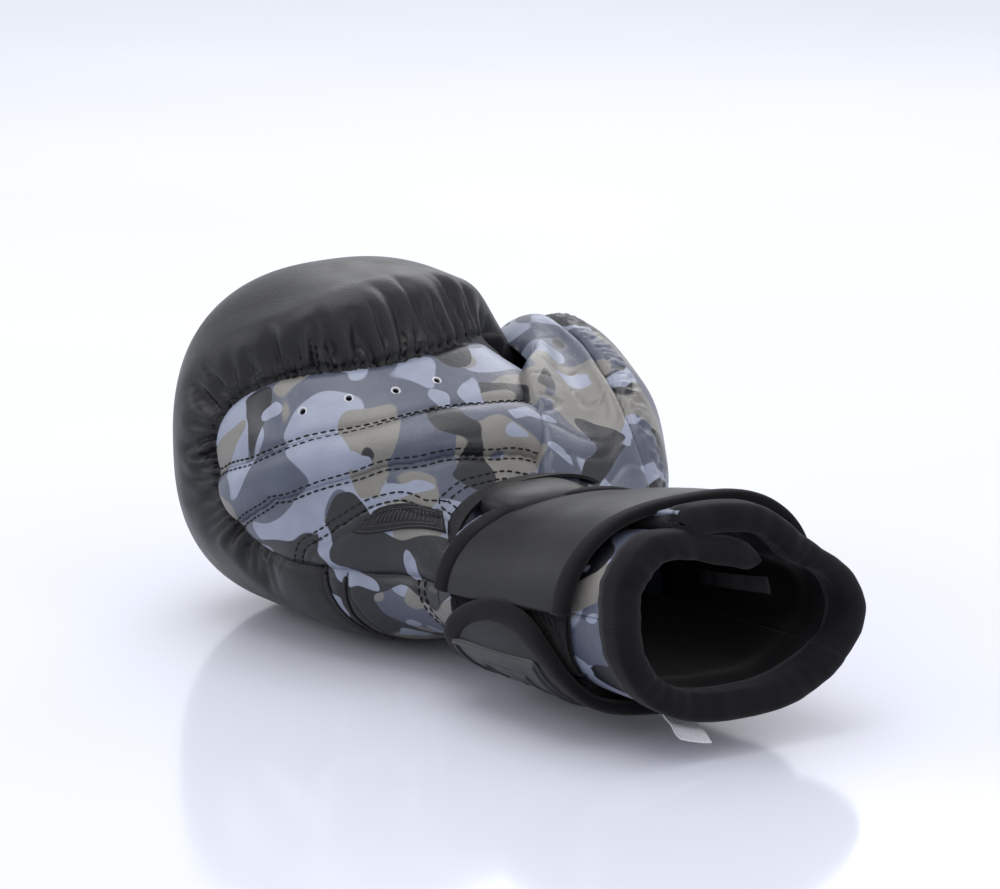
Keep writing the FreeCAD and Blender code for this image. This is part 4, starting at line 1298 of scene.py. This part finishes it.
TAB_FROM, TAB_TO = -101.3, -185.5
tab_turns, tab_long = even_turns(TAB_FROM, TAB_TO, 0.9)
tab_along = np.linspace(0, tab_long, len(tab_turns))
ROUND_LONG = 44.0


def tab_half(along):
    """Half the tab's width, rounding off towards its free end."""
    u = np.clip((along - (tab_long - ROUND_LONG)) / ROUND_LONG, 0, 1)
    return STRAP_HALF * (1 - u ** 2.6) ** (1 / 2.0)


def on_tab(along, across, out):
    """A point of the tab; its free end lies a little further out, over the loop patch."""
    t = np.interp(along, tab_along, tab_turns)
    return strap_point(t, across, out + 2.2 * step(0, 30, along))


def tab_slab(edge, low, high, puff):
    """The tab's area, edge in from its outline, as a closed rounded slab."""
    straight = tab_long - ROUND_LONG
    along = np.concatenate([np.linspace(0, straight, 30),
                            straight + (ROUND_LONG - edge) * np.sin(np.linspace(0, math.pi / 2, 50))[1:]])
    rings = []
    for a in along:
        inset = max(0.15, tab_half(a + edge * step(tab_long - ROUND_LONG - 10, tab_long, a)) - edge)
        shape = rounded(max(inset, 0.3), low, high, min(1.0, max(inset, 0.3) * 0.5), puff * min(1, inset / 20))
        rings.append(on_tab(np.full(len(shape), a), shape[:, 0], shape[:, 1]))
    return capped_sweep(rings)


TAB_EDGE = 5.0
piece("strap_tab_web", *tab_slab(TAB_EDGE, 0.3, STRAP_DEEP, 0.8), STRAP, "strap_leather", "strap_tab",
      fold=TAB_HINGE)

straight = np.linspace(0, tab_long - ROUND_LONG, 40)
curve = tab_long - ROUND_LONG + ROUND_LONG * np.sin(np.linspace(0, math.pi / 2, 70))[1:]
down = np.concatenate([straight, curve])
outline = np.vstack([np.stack([down, -tab_half(down)], 1), np.stack([down, tab_half(down)], 1)[::-1][1:]])
outline = resample(outline, 1.1)
heading = unit(np.gradient(outline, axis=0))
inward = np.stack([-heading[:, 1], heading[:, 0]], 1)
if (inward * (np.array([[tab_long / 2, 0]]) - outline)).sum() < 0:
    inward = -inward
turn = np.linspace(0, TURN, 24, endpoint=False)
c, s = np.cos(turn), np.sin(turn)
bead = np.stack([4.0 - 4.2 * signed_power(c, 0.8), 1.7 + 2.5 * signed_power(s, 0.8)], 1)
rings = []
for spot, into in zip(outline, inward):
    flat_spot = spot + into * bead[:, :1]
    rings.append(on_tab(np.clip(flat_spot[:, 0], 0.2, tab_long), flat_spot[:, 1], bead[:, 1]))
piece("tab_binding_knit", *capped_sweep(rings), KNIT, "binding", "tab_binding", fold=TAB_HINGE)


def plate_slab(along_from, along_to, half_wide, low, high, corner=2.5, middle=-3.0):
    """A rounded rectangle on the tab, as a closed solid."""
    count = 40
    along = np.linspace(along_from, along_to, count)
    rings = []
    for a in along:
        near_end = min(a - along_from, along_to - a)
        trim = corner - math.sqrt(max(0, corner ** 2 - max(0, corner - near_end) ** 2))
        drop = 0.6 * (high - low) * max(0, 1 - near_end / 0.8)
        shape = rounded(half_wide - trim, low, high - drop, 0.7)
        rings.append(on_tab(np.full(len(shape), a), shape[:, 0] + middle, shape[:, 1]))
    return capped_sweep(rings)


def plate_frame(along_from, along_to, half_wide, width, low, high, middle=-3.0):
    """A raised rectangular rim."""
    return [plate_slab(along_from, along_from + width, half_wide, low, high, 0.5, middle),
            plate_slab(along_to - width, along_to, half_wide, low, high, 0.5, middle),
            plate_slab(along_from, along_to, width / 2, low, high, 0.5, middle - half_wide + width / 2),
            plate_slab(along_from, along_to, width / 2, low, high, 0.5, middle + half_wide - width / 2)]


piece("tab_plate_rubber", *joined(
    [plate_slab(10, 42, 25, 2.2, 4.2)] + plate_frame(11, 41, 24, 1.6, 3.6, 5.2)
    + plate_frame(18, 34, 13, 1.4, 3.6, 4.9) + [plate_slab(24, 28, 5, 3.6, 4.8)]),
    RUBBER, "plate_rubber", "tab_plate", fold=TAB_HINGE)

pile_turns, _ = even_turns(176.0, 212.0, 0.8)
pile_across = np.linspace(-34, 34, 90)
t_all, w_all = (a.ravel() for a in np.meshgrid(pile_turns, pile_across, indexing="ij"))
fuzz = rng.normal(0, 0.16, len(t_all))
pile_points = strap_point(t_all, w_all, -0.9 + fuzz)
pile_faces = triangles(grid_faces(len(pile_turns), 90))
pile_normals = vertex_normals(strap_point(t_all, w_all, np.full(len(t_all), -0.9)), pile_faces)
if (pile_normals[:, 1] * (pile_points[:, 1] - CUFF_Y)).sum() < 0:
    pile_normals, pile_faces = -pile_normals, pile_faces[:, ::-1]
piece("loop_patch_pile", *thick(pile_points, pile_faces, pile_normals, 1.2), PILE, "loop_pile", "loop_patch")


# ---------------------------------------------------------------- finishes for the pieces that keep their CAD shape

KEPT = {"knuckle_foam_inner": FOAM, "fingertip_roll_foam": FOAM, "hand_lining": SATIN, "thumb_lining": SATIN,
        "hook_patch": PILE}
for node, look in KEPT.items():
    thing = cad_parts[node]
    thing.data.materials.clear()
    thing.data.materials.append(look)


# ---------------------------------------------------------------- stage

def stage_material():
    made, shader, add = material("floor")
    where = add("ShaderNodeTexCoord").outputs["Object"]
    link(ramp(add, noise(add, where, 3.0), [(0.3, srgb(214, 216, 226)), (0.7, srgb(219, 221, 230))]),
                   shader.inputs["Base Color"])
    shader.inputs["Roughness"].default_value = 0.12
    shader.inputs["Specular IOR Level"].default_value = 0.5
    return made


bpy.ops.mesh.primitive_plane_add(size=12, location=(0, 0, -0.0004))
floor = bpy.context.object
floor.name = "floor"
floor.data.materials.append(stage_material())

world = bpy.data.worlds.new("studio")
bpy.context.scene.world = world
world.use_nodes = True
world.node_tree.nodes["Background"].inputs["Color"].default_value = (0.93, 0.95, 1.0, 1)
world.node_tree.nodes["Background"].inputs["Strength"].default_value = 1.0
bpy.context.scene.view_settings.view_transform = "Standard"


def lamp(name, place, target, size, power, colour=(1, 1, 1)):
    data = bpy.data.lights.new(name, "AREA")
    data.shape = "RECTANGLE"
    data.size, data.size_y = size
    data.energy = power
    data.color = colour
    thing = bpy.data.objects.new(name, data)
    thing.location = place
    thing.rotation_euler = (Vector(target) - Vector(place)).to_track_quat("-Z", "Y").to_euler()
    bpy.context.scene.collection.objects.link(thing)


lamp("top_box", (-0.25, -0.1, 1.5), (-0.02, 0, 0.05), (1.3, 1.0), 9)
lamp("left_box", (-0.9, -1.2, 0.8), (0, 0, 0.05), (0.9, 0.7), 4, (0.95, 0.97, 1.0))
lamp("back_box", (-0.9, 1.1, 0.9), (0, 0, 0.08), (1.2, 0.6), 5)
lamp("right_box", (1.3, 0.2, 0.7), (0.05, 0, 0.05), (0.7, 0.6), 1.5)

camera_data = bpy.data.cameras.new("camera")
camera_data.lens = 134.4
camera_data.sensor_width = 36.0
camera_data.clip_end = 20.0
camera = bpy.data.objects.new("camera", camera_data)
camera.location = (1.0775, -0.8319, 0.4212)
camera.rotation_euler = Vector((-0.7723, 0.5866, -0.2437)).to_track_quat("-Z", "Y").to_euler()
bpy.context.scene.collection.objects.link(camera)
bpy.context.scene.camera = camera
